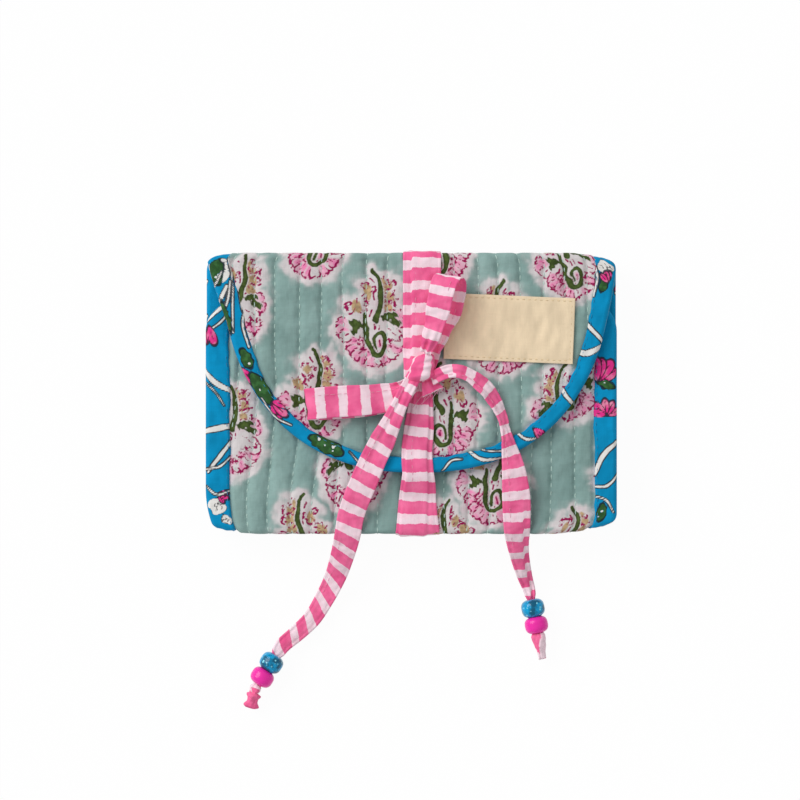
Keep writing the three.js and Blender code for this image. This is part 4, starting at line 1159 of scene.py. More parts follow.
def build_binding(name, case, part, features, material, side=1):
    """A strip of cloth folded over a panel's edge, from one face round to the other.

    In section it is flat on both faces and half a circle at the edge, of half the panel's
    thickness, and the print's distance in from the edge runs on round that half circle.
    """
    line, into, width = bound_edge(case, part, side)
    along = run_along(line)
    radius = case.panel / 2
    turn = np.radians(np.linspace(90, -90, 13))[1:-1]
    width = width + 0.25 * ripple(along, 0 * along, 31, 22) + 0.18 * ripple(along, 0 * along, 33, 6)
    flat = radius + (width - radius) * np.linspace(1, 0, 18)[:, None]
    edge = radius - radius * np.cos(turn)[:, None] + 0 * width
    inward = np.vstack([flat, edge, flat[::-1]]).T
    hem = np.array([0.85, 0.28] + [0.1] * 16)
    deep = np.concatenate([hem, radius - radius * np.sin(turn), case.panel - hem[::-1]])
    printed_edge = radius - radius * (math.pi / 2 - turn)[:, None] + 0 * width
    printed = np.vstack([flat, printed_edge, (2 - math.pi) * radius - flat[::-1]]).T
    s = along[:, None]
    swell = 0.12 * ripple(s, 1.6 * inward, 41, 7) + 0.07 * ripple(s, inward * 0.4, 43, 3.2)
    crown = 0.22 * np.sin(np.clip(inward / width[:, None], 0, 1) * math.pi)
    depth = deep - np.clip((radius - deep) / radius, -1, 1) * (crown + swell - 0.1)

    def place(distance):
        return [line[:, k:k + 1] + into[:, k:k + 1] * distance for k in (0, 1)]

    points = case.tucked(lift(case, part, *place(inward + 0.1), depth))
    piece = tube_mesh(name, points, material, blue_print(*place(printed), features))
    row = lift(case, part, *place(width[:, None] - 0.9), np.full((len(line), 1), 0.02))[:, 0]
    yz, normal, at, _ = case.route(part)
    order = np.argsort(at)
    up = np.column_stack([0 * width, read_at(line[:, 1], at[order], normal[order])])
    return piece, stitch_row(case.tucked(row[4:-4]), up[4:-4], 2.0, 1.1, 0.24, sink=0.3)


FLAP_BLUES = [(scribble, -79.6, 50.4, 5.6, 5), (blue_leaf, -79.6, 44.4, 96, 11, 6.4, 3, 2),
    (vine, 0.5, -76.5, 56, -74, 50, -74.2, 44), (vine, 0.8, -76, 44, -79, 38, -84, 33),
    (vine, 0.6, -75, 43, -76.5, 36, -80, 30), (vine, 0.5, -78, 50, -80.5, 45, -84.5, 41.5),
    (vine, 0.5, -74.6, 46, -75.6, 38, -78.4, 31), (vine, 0.5, -73.4, 45, -73.6, 35, -73.4, 25),
    (vine, 0.4, -80, 34, -82.6, 31, -84.8, 26), (blue_leaf, -78.6, 38, -74, 14, 3.6, 0, 3),
    (vine, 0.5, -71, 42, -69.5, 34, -66.5, 27), (vine, 0.6, -68, 38, -69.5, 28, -67, 19),
    (blue_leaf, -70.4, 18.5, -62, 9.5, 4.6, 1, 4), (blue_bloom, -70.6, 10.4, -64, 9.5, 2, 22, 3),
    (blue_leaf, -66.6, 8.4, -56, 15, 6.2, 1, 6), (blue_bloom, -57.8, -3.4, -42, 8.5, 3, 52, 8),
    (vine, 0.5, -62, -2, -57, -9.5, -50, -13), (blue_leaf, -42.6, -17.6, -28, 15.5, 6.4, 5, 9),
    (vine, 0.4, -26, -24, -21, -29, -14, -29.5), (vine, 0.5, 12, -32, 16, -27.5, 20, -27),
    (vine, 0.7, 21, -22, 28, -27, 36.5, -27), (vine, 0.4, 24, -21, 30, -23.5, 38, -23.6),
    (vine, 0.6, 41, -14, 46, -18.6, 52, -18.6), (blue_bloom, 49.4, -14.4, -38, 6.5, 2, 22, 12),
    (vine, 0.8, 60, 4.5, 63, -1, 66.6, -5), (vine, 1.1, 66, 18, 71, 16.4, 78, 19),
    (vine, 0.8, 68, 33, 73, 27, 80.5, 19.5), (blue_leaf, 77.5, 41.5, 70, 8, 3.8, 2, 14),
    (scribble, 80, 52.5, 3.4, 15), (blue_bloom, 80.6, 45.5, 105, 6, 3, 45, 16),
    (vine, 0.6, 74, 57, 76, 48, 74.5, 40), (vine, 0.6, 82.5, 66, 77, 62, 74, 67),
    (vine, 0.6, -83, 67, -78, 61, -75, 66)]
LEAF_BLUES = [(vine, 0.8, -73, 44, -77, 37, -84.5, 30), (vine, 0.5, -73, 40, -77, 31, -85, 24.5),
    (blue_bloom, -83.4, 28, -88, 8, 3, 30, 21), (vine, 1.0, -85.5, 9.4, -80, 4, -73, 0.6),
    (vine, 0.4, -85.5, 5, -81, 1, -77, -5), (vine, 1.1, -86, -15.6, -80, -14.4, -73, -13),
    (vine, 0.8, -73, -18, -77.5, -24, -83.6, -32), (vine, 0.5, -74.5, -26, -79, -30, -85, -31),
    (scribble, -80.6, -46.5, 3.6, 22), (scribble, -77.5, -52.5, 2.4, 23),
    (blue_bloom, -79.6, -41, -28, 5, 3, 70, 24), (vine, 0.5, -84.5, -38, -80, -41.5, -75, -40),
    (vine, 0.9, 71, 27, 76, 32, 84, 39), (blue_bloom, 76, 5, 62, 11.5, 4, 74, 31),
    (blue_leaf, 76.4, 4.6, -16, 7.6, 3.6, 1, 32), (blue_bloom, 80, -9, 95, 7.5, 5, 150, 33),
    (vine, 1.0, 75, -33, 79, -25, 84.6, -20), (vine, 0.6, 74, -38, 80, -38, 85.5, -33),
    (blue_leaf, 77.5, -54, 84, 8.6, 3.8, 2, 34), (vine, 0.5, 83, -50, 80, -44, 75, -42),
    (blue_leaf, -79.5, -66, 80, 7, 3.4, 1, 35), (vine, 0.6, 76, -66, 80, -61, 84, -57)]


def back_blues(case, side):
    """Vines, leaves and flowers at even steps down a side of the back."""
    features = []
    for k, v in enumerate(np.arange(case.seam_run + 4, case.seam_run + case.back_run, 14.5)):
        x = side * (case.half_width - 4)
        kind = (k + (side > 0)) % 4
        if kind == 0:
            features.append((blue_leaf, x - 2, v - 4, 78, 9, 4, 3, k))
        elif kind == 2:
            features.append((blue_bloom, x, v - 3, 80, 8, 4, 80, k))
        features.append((vine, 0.8, x - 6, v - 2, x, v + 4, x + 6, v + 3))
    return features


# Ties


def strip(name, route, width, cloth, upright, phase, material, across, lift, slip=None):
    """A flat strip of striped cloth along a route, with its print's own coordinates.

    Slip moves the stripes along the strip, as a fold or a slanted cut does.
    """
    step = 0.55
    path, size = smooth_path(route, round(smooth_path(route, 2)[1] / step) + 1)
    share = np.linspace(0, 1, len(path))
    side, normal = frames_along(path, upright(share, path))
    width = width(share, path)
    cloth = cloth(share) if callable(cloth) else cloth + 0 * share
    rings, x = ribbon_rings(path, side, normal, width, cloth, across, lift)
    along = (share * size + phase)[:, None] + (slip(share[:, None], path, x) if slip else 0 * x)
    piece = tube_mesh(name, rings, material, {"along": along, "across": x})
    return piece, path, side, normal, width, size


def seam_stitches(path, side, normal, width, cloth, offset=0.24, skip=2):
    """The row of small running stitches that closes a tie, a share of its width off the middle."""
    above = (cloth / 2 - 0.12 + 0 * width)[:, None]
    at = path + side * (offset * width)[:, None] + normal * above
    return stitch_row(at[skip:-skip], normal[skip:-skip], 1.9, 0.8, 0.2, sink=0.12)


BAND_X, BAND_Z = 3.7, 25.1
KNOT = np.array([BAND_X, 10.6, 28.7])
LEFT_TAIL = [(0.7, 7.6, 29.4), (-2.7, 1.2, 31.2), (-5.8, -5.218, 31.3), (-8.799, -11.683, 29.7),
    (-12.419, -19.182, 27.2), (-16.212, -26.983, 25.85), (-19.488, -34.612, 25.35), (-22.808, -42.4, 24.15),
    (-25.417, -50, 21.95), (-26.968, -58.487, 19.75), (-29.012, -66.524, 13.602), (-31.973, -75.478, 7.605),
    (-36.415, -84.431, 4.194), (-41.632, -92.821, 3.4), (-48.188, -99.166, 3.8), (-53.405, -103.607, 4.8),
    (-55.802, -106.991, 4.8), (-58.411, -111.08, 4.8), (-62.218, -117.073, 4.8), (-64.615, -120.88, 4.8),
    (-66.166, -124.405, 4.4), (-66.8, -128, 3.8)]
RIGHT_TAIL = [(7.4, 6.2, 28.9), (15.4, 9.203, 31.004), (21.587, 8.186, 31), (28.181, 3.618, 29.8),
    (33.396, -2.804, 28.2), (36.801, -10.605, 26.6), (38.783, -19.398, 25.75), (40.594, -27.587, 25.35),
    (41.8, -35.991, 25.35), (42.417, -45, 23.9), (42.625, -53.6, 21.75), (42.988, -60.614, 17.6),
    (44.182, -67.984, 11.407), (46.206, -75.613, 6.605), (47.815, -80.388, 4.8), (48.594, -84.021, 4.8),
    (49.476, -88.381, 4.8), (50.877, -95.179, 4.8), (51.811, -99.591, 4.8), (52.382, -104.002, 4.4),
    (53.42, -109.4, 3.6)]
BEADS = {
    "left": [((-58.37, -111.02, 4.8), (-0.5366, -0.8438, 0), 6.9),
        ((-62.14, -116.95, 4.8), (-0.5347, -0.8451, 0), 6.5)],
    "right": [((49.50, -88.52, 4.8), (0.2002, -0.9798, 0), 6.9),
        ((50.92, -95.38, 4.8), (0.2077, -0.9782, 0.0032), 6.5)]}
UP_LOOP = [(4.9, 16.7, 31), (7.5, 24, 34.4), (10.1, 34, 36.4), (11.9, 42.6, 36.4), (13.3, 46.8, 34.4),
    (14.9, 47.6, 31.4), (16.39, 45.4, 29.1), (15.39, 36, 28.3), (11.62, 25, 28.1), (8.58, 16.9, 28.2)]
LEFT_LOOP = [(-1, 3.4, 28.5), (-5.98, -0.3, 28.5), (-12, -1.8, 29), (-20, -2.7, 30), (-31, -3.31, 30.3),
    (-40.4, -4.11, 29.7), (-43.3, -4.39, 28.2), (-40.4, -4.58, 26.7), (-31, -4.2, 26.28),
    (-20, -3.5, 26.28), (-12, -2.6, 26.4), (-5.98, -0.9, 26.6), (-1, 2.8, 26.8)]


def build_tail(side, route, width, skew, upright, phase, material, thread, end_size, end_shape):
    """A free tail: a flat strip down over the case to its beads, with a knot at its end.

    Width, skew and the stitched crease are read at the tail's own height on the table, in Y.
    """
    is_left = side == "left"

    def shape(share, x):
        near = 1 - ease(share, 0.12, 0.3)
        crease = -0.75 * np.exp(-((x - 0.2) / 0.16) ** 2) * near
        if not is_left:
            turned = np.interp(share, [0.5, 0.8], [0.62, 0.25])
            crease = crease - 0.5 * ease(share, 0.5, 0.6) * ease(-x, turned - 0.08, turned + 0.04)
        ridge = 0.26 * ripple(share * 160, x * 2.4, 51 if is_left else 52, 9)
        return crease + ridge + 0.12 * ripple(share * 160, x * 5, 53, 3.4)

    def slip(share, path, x):
        moved = np.interp(-path[:, 1], *skew)[:, None] * x
        moved = moved + (1.5 if is_left else -1.3) * (1 - ease(share, 0.13, 0.2)) * (x > 0.9)
        if is_left:
            return moved
        return moved + 2.4 * ease(share, 0.5, 0.6) * (x < -np.interp(share, [0.5, 0.85], [3.4, 0.2]))

    def cloth(share):
        return smooth_stops(share, [(0, 1.5), (0.6, 1.5), (0.73, 2.4), (0.95, 2.4), (1, 2.0)])

    tail, path, across, normal, wide, size = strip(f"{side}_tail_cloth", route,
        lambda share, path: np.interp(-path[:, 1], *width), cloth, upright, phase, material, 20,
        shape, slip)
    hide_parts(f"tie_tail_{side}")
    near = round(len(path) * 0.7)
    bars = seam_stitches(path[:near], across[:near], normal[:near], wide[:near],
        cloth(np.linspace(0, 0.7, near)), skip=14)
    seam = merge_meshes(f"{side}_tail_stitches", bars, thread)

    axis = unit(np.subtract(route[-1], route[-3]))
    a, t = np.meshgrid(turns(60), np.linspace(0, 1, 46))
    long, wide_end, high = end_size
    fold = (1 + 0.11 * np.sin(3 * a + 5 * t + 1) + 0.045 * np.sin(5 * a - 9 * t)
        + 0.03 * np.sin(9 * a + 14 * t))
    radius = smooth_stops(t, end_shape) * fold / 2
    out = unit(np.array([axis[1], -axis[0], 0]))
    up = np.cross(out, axis)
    up = up * np.sign(up[2])
    rings = (route[-3] + axis * (t * long - 0.9)[..., None]
        + out * (radius * wide_end * np.cos(a))[..., None]
        + up * (radius * high * np.sin(a))[..., None])
    rings[..., 2] = -soft_least(-rings[..., 2], -0.1, 0.6)
    along = 0.8 * np.sin(a) + 4.4 * t - 4.1 if is_left else 0.6 + 1.6 * (1 - np.cos(a)) + 1.6 * t
    crumple = tube_mesh(f"{side}_tail_knot", rings, material, {"along": along, "across": t * long})
    return tail, seam, crumple, path, size


def build_bead(name, centre, axis, size, bore, material, around=64, rows=28):
    """A glass barrel, turned about its own axis, with a hole through it.

    Its outline is r = 4.8 (1 - |0.92 t|^3)^(1/2.3) between two rounded rims.
    """
    axis = unit(np.array(axis, float))
    side = unit(np.cross(axis, (0.0, 0.0, 1.0)))
    t = np.linspace(-1, 1, rows)
    outer = 4.8 * (1 - np.abs(t * 0.92) ** 3) ** (1 / 2.3)
    half = size * 0.53
    rim = np.array([[half * 0.985, bore / 2 + 0.35], [half * 0.93, bore / 2]])
    profile = np.vstack([np.column_stack([t * half, outer]), rim, rim[::-1] * (-1, 1)])
    turn = turns(around)[:, None]
    ring = side * np.cos(turn) + np.cross(side, axis) * np.sin(turn)
    points = centre + profile[:, :1, None] * axis + profile[:, 1:, None] * ring
    faces = grid_faces(len(profile), around, round_rows=True, round_columns=True)
    return outward(put_mesh(name, points.reshape(-1, 3), faces.tolist(), material))


def slab(name, low, high, material, up=1, wave=0.12, seed=0, edge=0.35, step=0.9, fields=None):
    """A closed sheet of cloth between two corners, with soft edges and faint waves."""
    columns, rows = (max(4, round((high[k] - low[k]) / step)) for k in (0, 1))
    x, y = np.meshgrid(np.linspace(low[0], high[0], columns), np.linspace(low[1], high[1], rows))
    inset = np.minimum(np.minimum(x - low[0], high[0] - x), np.minimum(y - low[1], high[1] - y))
    middle, half = (low[2] + high[2]) / 2, (high[2] - low[2]) / 2
    share = np.sqrt(np.clip(1 - (1 - np.clip(inset / edge, 0, 1)) ** 2, 0.01, 1))
    sway = wave * ripple(x, y, seed, 13) * ease(inset, 0, 5)
    top, bottom = middle + half * share, middle - half * share
    if up > 0:
        top = top + sway
    else:
        bottom = bottom + sway
    points = np.stack([np.stack([x, y, z], -1) for z in (top, bottom)])
    n = rows * columns
    faces = grid_faces(rows, columns)
    rim = np.concatenate([np.arange(columns - 1), columns * np.arange(1, rows) - 1,
        n - 1 - np.arange(columns - 1), columns * (rows - 1 - np.arange(rows - 1))])
    after = np.roll(rim, -1)
    sides = np.stack([rim, rim + n, after + n, after], -1)
    printed = fields(x, y) if fields else {}
    return outward(put_mesh(name, points.reshape(-1, 3),
        np.vstack([faces, (faces + n)[:, ::-1], sides]).tolist(), material,
        {key: np.tile(np.ravel(f), 2) for key, f in printed.items()}))


# Operators: one for each group of pieces


def done(operator, made):
    """How a group's operator ends: a group that made nothing stops the script."""
    if not made:
        raise RuntimeError(f"{operator.bl_label} made no pieces")
    return {"FINISHED"}


def follow(part, *pieces):
    """Pieces of the back ride on it. Those of a folding panel bend from the back on to it."""
    for piece in pieces:
        if part == "back":
            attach(piece, "back_case")
        else:
            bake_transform(piece)


class ORGANIZER_OT_quilts(bpy.types.Operator):
    """Makes the three quilted outer panels and their running stitches"""

    bl_idname = "organizer.quilts"
    bl_label = "Quilted panels"

    def execute(self, context):
        look = context.scene.organizer_quilt
        sage, thread = sage_finish(look), thread_finish("quilting_thread", look.thread)
        nodes = {"flap": ("flap_cover", "top_spine"), "leaf": ("front_cover", "bottom_spine"),
            "back": ("back_cover",)}
        made = []
        for part, stands_for in nodes.items():
            quilt, stitches = build_quilt(context, part, sage, thread)
            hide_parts(*stands_for)
            follow(part, quilt, stitches)
            made += [quilt, stitches]
        return done(self, made)


class ORGANIZER_OT_linings(bpy.types.Operator):
    """Makes the cotton lining of each panel"""

    bl_idname = "organizer.linings"
    bl_label = "Linings"

    def execute(self, context):
        trim = context.scene.organizer_trim
        cotton = plain_cotton("lining_cotton", trim.lining)
        made = []
        for part, node, flat in (("flap", "flap_lining", (0.162, 0.092)),
                                 ("leaf", "front_lining", (0.163, 0.104)),
                                 ("back", "back_lining", (0.164, 0.132))):
            cloth = build_lining(context, part, cotton)
            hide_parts(node)
            follow(part, cloth)
            made.append(cloth)
        return done(self, made)


class ORGANIZER_OT_bindings(bpy.types.Operator):
    """Makes the printed bindings round the panels' edges"""

    bl_idname = "organizer.bindings"
    bl_label = "Bindings"

    def execute(self, context):
        case, look = Case(context), context.scene.organizer_blue
        blue, thread = blue_finish(look), thread_finish("binding_thread", shade(look.ground, 0.95))
        made = []
        for part, name, node, features, side in (
                ("flap", "flap_binding_cloth", "flap_binding", FLAP_BLUES, 1),
                ("leaf", "leaf_binding_cloth", "front_binding", LEAF_BLUES, 1),
                ("back", "back_binding_cloth_right", "back_binding_right", back_blues(case, 1), 1),
                ("back", "back_binding_cloth_left", "back_binding_left", back_blues(case, -1), -1)):
            cloth, bars = build_binding(name, case, part, features, blue, side)
            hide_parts(node)
            stitches = merge_meshes(f"{name}_stitches", bars, thread)
            follow(part, cloth, stitches)
            made += [cloth, stitches]
        return done(self, made)


class ORGANIZER_OT_bands(bpy.types.Operator):
    """Makes the striped band round the case, as far as its knot"""

    bl_idname = "organizer.bands"
    bl_label = "Sewn-down band"

    def execute(self, context):
        case, tie = Case(context), context.scene.organizer_tie
        stripe, thread = tie_finish(tie), thread_finish("tie_thread", tie.thread)
        x, h, z = BAND_X, case.half_height, BAND_Z
        top_bend = [(x, h + 0.3 - (1 - math.cos(a)) * 3.2, 21.7 + math.sin(a) * 3.4)
            for a in np.radians([0, 22, 45, 68, 90])]
        upper = [(x, h + 0.75, 9), (x, h + 0.65, 12), (x, h + 0.4, 16), *top_bend, (x, 48, z),
            (x, 36, z + 0.1), (x, 26, z), (x, 19, z + 0.1), (x - 0.9, 12, z + 0.2), (x - 2.1, 5.4, z + 0.1)]
        lower = [(x, 7, z + 1.4), (x, 4.2, z + 0.4), (x - 1.2, -14, z), (x - 2.1, -24, z),
            (x - 1.6, -33.9, z), (x - 1.6, -38.5, 22.7), (x - 1.8, -42.5, 20.7), (x - 1.9, -47.5, 20.4),
            (x - 1.8, -54.6, 20.3), (x - 1.8, -57.2, 19.3), (x - 1.8, -57.9, 17.2), (x - 1.8, -58.1, 14.6),
            (x - 1.8, -58.2, 12)]
        bend = [(x, h - 5.5 + 5.9 * math.sin(a), 5.7 - 4.9 * math.cos(a))
            for a in np.radians([90, 68, 45, 22, 0])]
        back = [(x, h - 0.1, 12), (x, h + 0.2, 8), *bend, (x, 40, 0.8), (x - 0.4, 0, 0.8),
            (x - 1.6, -40, 0.8), *[(px - 1.8, -py, pz) for px, py, pz in bend[::-1]], (x - 1.8, -h, 8),
            (x - 1.8, -h + 0.5, 13.6)]

        def uneven(share, at, size, reach, seed, wave):
            return size * ripple(share * reach, at * 8, seed, wave)

        def pleat(share, at):
            step = -0.55 * ease(at, 0.5, 0.58) * ease(share, 0.2, 0.34)
            return step + uneven(share, at, 0.16, 60, 61, 11) + uneven(share, at, 0.1, 60, 62, 4)

        def pressed(share):
            """Where the two folds lie that meet below the knot, as shares of half the width."""
            return (np.interp(share, [0.3, 0.6, 0.75], [0.69, 0.8, 0.85]),
                -np.interp(share, [0.4, 0.6, 0.8, 0.95], [0.68, 0.6, 0.48, 0.36]))

        def creases(share, at):
            left, right = pressed(share)
            folds = (0.8 * ease(at, left - 0.05, left + 0.05)
                + 0.9 * (1 - ease(at, right - 0.07, right + 0.07)))
            dip = 0.7 * np.exp(-((at - 0.25 + 0.2 * share) / 0.14) ** 2) * (1 - ease(share, 0, 0.55))
            return uneven(share, at, 0.16, 60, 63, 10) - folds * (1 - 0.45 * share) - dip

        def faint(share, at):
            return uneven(share, at, 0.12, 200, 64, 12)

        def one_fold(share, path, x):
            return -1.1 * (x > 4.3)

        def two_folds(share, path, x):
            half = spread(share, path)[:, None] / 2
            left, right = pressed(share)
            return 0.35 * (x > left * half) - 0.6 * (x < right * half)

        def tucked(share, path):
            return np.interp(path[:, 1], [5.4, 12, 17], [11, 13.6, 15.6])

        def spread(share, path):
            return np.interp(path[:, 1], [-58, -47.6, -38.5, -32, -21, -14, 3, 7],
                [18.2, 16, 14.5, 12.8, 12.6, 12.2, 8.6, 7.5])

        def widening(share, path):
            return np.interp(share, [0.7, 0.9], [15.6, 17.6])

        made = []
        for name, route, width, phase, lifted, slip, lies_on in (
                ("upper_band", upper, tucked, 4.2, pleat, one_fold, "flap_quilt"),
                ("lower_band", lower, spread, 0.0, creases, two_folds, "flap_quilt"),
                ("back_band", back, widening, 2.0, faint, None, "back_quilt")):
            piece, path, side, normal, wide, size = strip(name, route, width, 1.0, self.outward, phase,
                stripe, 40, lifted, slip)
            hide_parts(f"tie_{name}")
            bars = seam_stitches(path, side, normal, wide, 1.0, 0.17 if slip else 0.42)
            seam = merge_meshes(f"{name}_stitches", bars, thread)
            if name == "lower_band":
                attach(piece, "flap")
                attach(seam, "flap")
            else:
                follow(lies_on.split("_")[0], piece, seam)
            made += [piece, seam]
        return done(self, made)

    @staticmethod
    def outward(share, path):
        """The direction away from the case's middle along a band that wraps it."""
        tangent = unit(np.gradient(path, axis=0))
        normal = np.column_stack([0 * share, -tangent[:, 2], tangent[:, 1]])
        facing = (normal * (path - (0, 0, 12.0))).sum(1, keepdims=True)
        return unit(normal * np.where(facing < 0, -1, 1))


class ORGANIZER_OT_knot(bpy.types.Operator):
    """Makes the knot that the bow is tied in"""

    bl_idname = "organizer.knot"
    bl_label = "Knot"

    def execute(self, context):
        stripe = tie_finish(context.scene.organizer_tie)
        turn, t = np.meshgrid(turns(128), np.linspace(-1, 1, 90))
        round_end = (1 - np.abs(t) ** 3.2) ** (1 / 2.6)
        ridge = 0.34 * np.sin(t * 8.5 + 0.5 * np.sin(turn * 2) + 0.9)
        ridge = (ridge + 0.16 * ripple(t * 6, turn * 2.2, 71, 2.6)) * (1 - t ** 2)
        waist = (1 - 0.08 * np.cos(math.pi * t)) * (1 - 0.17 * t)
        squared = [size * np.sign(v) * np.abs(v) ** 0.78
            for size, v in ((5.4, np.cos(turn)), (3.9, np.sin(turn)))]
        wide, high = (v * (waist * round_end + ridge / size) for size, v in zip((5.4, 3.9), squared))
        rings = KNOT + np.stack([wide + 0.9 * t, 5.7 * t + 0.5 * np.cos(turn), high], -1)
        arc = np.hypot(*(np.gradient(v, axis=1) for v in squared))
        knot = tube_mesh("bow_knot", rings, stripe,
            {"along": np.cumsum(arc, axis=1) - 1.2 + 0.5 * t, "across": 5.5 * t})
        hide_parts("tie_knot")
        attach(knot, "flap")
        return done(self, [knot])


class ORGANIZER_OT_loops(bpy.types.Operator):
    """Makes the two loops of the bow and the frayed end below it"""

    bl_idname = "organizer.loops"
    bl_label = "Loops of the bow"

    def execute(self, context):
        tie = context.scene.organizer_tie
        stripe, thread = tie_finish(tie), thread_finish("loop_thread", tie.thread)
        made = self.frayed_end(stripe, thread)
        for name, route, pinches, across, node, phase, seed in (
                ("up_loop", UP_LOOP, [(0, 5.2), (0.14, 8), (0.3, 10.2), (0.5, 11), (0.72, 10.6),
                                      (0.88, 7.6), (1, 5)],
                 (0.96, -0.2, 0.18), "tie_loop_up", 5.1, 81),
                ("left_loop", LEFT_LOOP, [(0, 7.4), (0.07, 10.4), (0.15, 12), (0.3, 12.8),
                                          (0.5, 12.8), (0.72, 12.4), (0.86, 11.2), (1, 7)],
                 (-0.12, 1, 0), "tie_loop_left", 3.0, 82)):

            def upright(share, path, across=across):
                return unit(np.cross(unit(np.array(across)), unit(np.gradient(path, axis=0))))

            def crumple(share, at, seed=seed):
                u, v = share * 90, at * 5
                pleats = np.exp(-(np.minimum(share, 1 - share) / 0.12) ** 2) * np.sin(at * 7 + seed)
                return 0.5 * ripple(u, v, seed, 15) + 0.16 * ripple(u, v, seed + 9, 5) + 0.7 * pleats

            piece, path, side, normal, wide, size = strip(name, route,
                lambda share, path, stops=pinches: smooth_stops(share, stops), 1.1, upright, phase,
                stripe, 22, crumple)
            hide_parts(node)
            bars = [bar for up in (normal, -normal) for bar in seam_stitches(path, side, up, wide, 1.1)]
            seam = merge_meshes(f"{name}_stitches", bars, thread)
            for part in (piece, seam):
                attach(part, "flap")
            made += [piece, seam]
        return done(self, made)

    def frayed_end(self, stripe, thread):
        """A short end that comes out below the knot, frayed to loose threads."""
        route = [(5.8, 6.4, 27.4), (6.6, 4.2, 27.5), (7.4, 2.2, 27.4), (8.2, 0.4, 27.3)]
        piece, *_ = strip("frayed_end", route, lambda share, path: 4.6 + 5 * share, 0.8,
            lambda share, path: (0, 0.1, 1), 5.6, stripe, 22,
            lambda share, at: 0.4 * np.sin(at * 7 + 2 * share))
        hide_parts("tie_stub")
        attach(piece, "flap")
        dice = np.random.default_rng(88)
        turn, t = turns(5), np.linspace(0, 1, 9)[:, None]
        ring = 0.14 * np.stack([np.cos(turn), 0 * turn, np.sin(turn)], -1)
        hairs = []
        for k in range(15):
            at = -4.4 + 8.8 * k / 14 + dice.uniform(-0.3, 0.3)
            root = np.array([8.0 + at * 0.93, 0.7 + at * 0.36, 27.3])
            is_long = k % 4 == 0
            reach = dice.uniform(3.5, 8.0) if is_long else dice.uniform(0.6, 1.8)
            droop = np.array([dice.uniform(-1.2, 1.2), 0, -0.5])
            way = np.array([-0.66, -0.75, 0] if is_long else [0.3, -0.95, 0])
            line = root + t * reach * way + t ** 2 * droop
            hairs.append(((line[:, None] + ring).reshape(-1, 3), grid_faces(9, 5, round_columns=True)))
        fray = merge_meshes("frayed_threads", hairs, thread)
        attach(fray, "flap")
        return [piece, fray]


class ORGANIZER_OT_tails(bpy.types.Operator):
    """Makes the two free tails of the bow, their end knots and their beads"""

    bl_idname = "organizer.tails"
    bl_label = "Tails and beads"

    def execute(self, context):
        tie, trim = context.scene.organizer_tie, context.scene.organizer_trim
        stripe, thread = tie_finish(tie), thread_finish("tail_thread", tie.thread)
        glass, glaze = glass_finish(trim), glaze_finish(trim)
        made = []
        left_width = ([-6.4, 5.2, 11.7, 19, 34.6, 57.2, 68.3, 79.3, 89.6, 98.2, 104, 106.6, 108.6],
            [6.2, 6.6, 8.2, 10.4, 11.2, 10.8, 9.6, 8.4, 7.6, 7.0, 6.4, 5.6, 3.6])
        right_width = ([-9.2, -7, -3.6, 2.8, 8.8, 13.3, 18, 22.8, 32.2, 41.6, 47.8, 56.4, 64.6, 74.8, 83,
            85], [5.6, 5.6, 7.2, 6.4, 5.0, 4.0, 5.0, 7.2, 10, 11.6, 11.6, 10.8, 8.4, 6.4, 4.6, 3.2])
        left_skew = [0, 50, 60, 72, 95], [0.05, 0.12, 0.35, 0.55, 0.6]
        right_skew = [0, 40, 80], [-0.1, -0.05, 0.2]
        crumpled = [(0, 0.5), (0.1, 0.75), (0.24, 0.7), (0.34, 0.5), (0.46, 0.95), (0.6, 0.72), (0.7, 0.7),
            (0.9, 1.0), (0.97, 0.75), (1, 0.25)]
        tapered = [(0, 0.8), (0.12, 1.0), (0.45, 0.8), (0.8, 0.5), (0.95, 0.5), (1, 0.22)]

        def flat(share, path):
            lean = smooth_stops(share, [(0, 0.7), (0.12, 0.3), (0.3, 0.0), (1, 0.0)])
            return np.column_stack([0.4 * lean, 0.9 * lean, 1 + 0 * share])

        def turning(share, path):
            lean = smooth_stops(share, [(0, 0), (0.1, 0.3), (0.2, 0.5), (0.27, 0.6), (0.34, 0.4),
                (0.42, 0.1), (0.5, 0), (1, 0)])
            return np.column_stack([lean, 0.4 * lean, 1 + 0 * share])

        for side, route, width, skew, upright, phase, end_size, end_shape in (
                ("left", LEFT_TAIL, left_width, left_skew, flat, -1.7, (10.2, 6.2, 5.4), crumpled),
                ("right", RIGHT_TAIL, right_width, right_skew, turning, 6.0, (11, 5.8, 5.2),
                 tapered)):
            tail, seam, crumple, path, size = build_tail(side, route, width, skew, upright, phase, stripe,
                thread, end_size, end_shape)
            beads = []
            for tint, material, place in zip(("blue", "pink"), (glass, glaze), BEADS[side]):
                bead = build_bead(f"{side}_{tint}_glass", *place, 4.0, material)
                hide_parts(f"bead_{tint}_{side}")
                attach(bead, f"bead_{tint}_{side}")
                beads.append(bead)
            for part in (tail, seam, crumple):
                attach(part, f"tail_{side}")
            made += [tail, seam, crumple, *beads]
        return done(self, made)


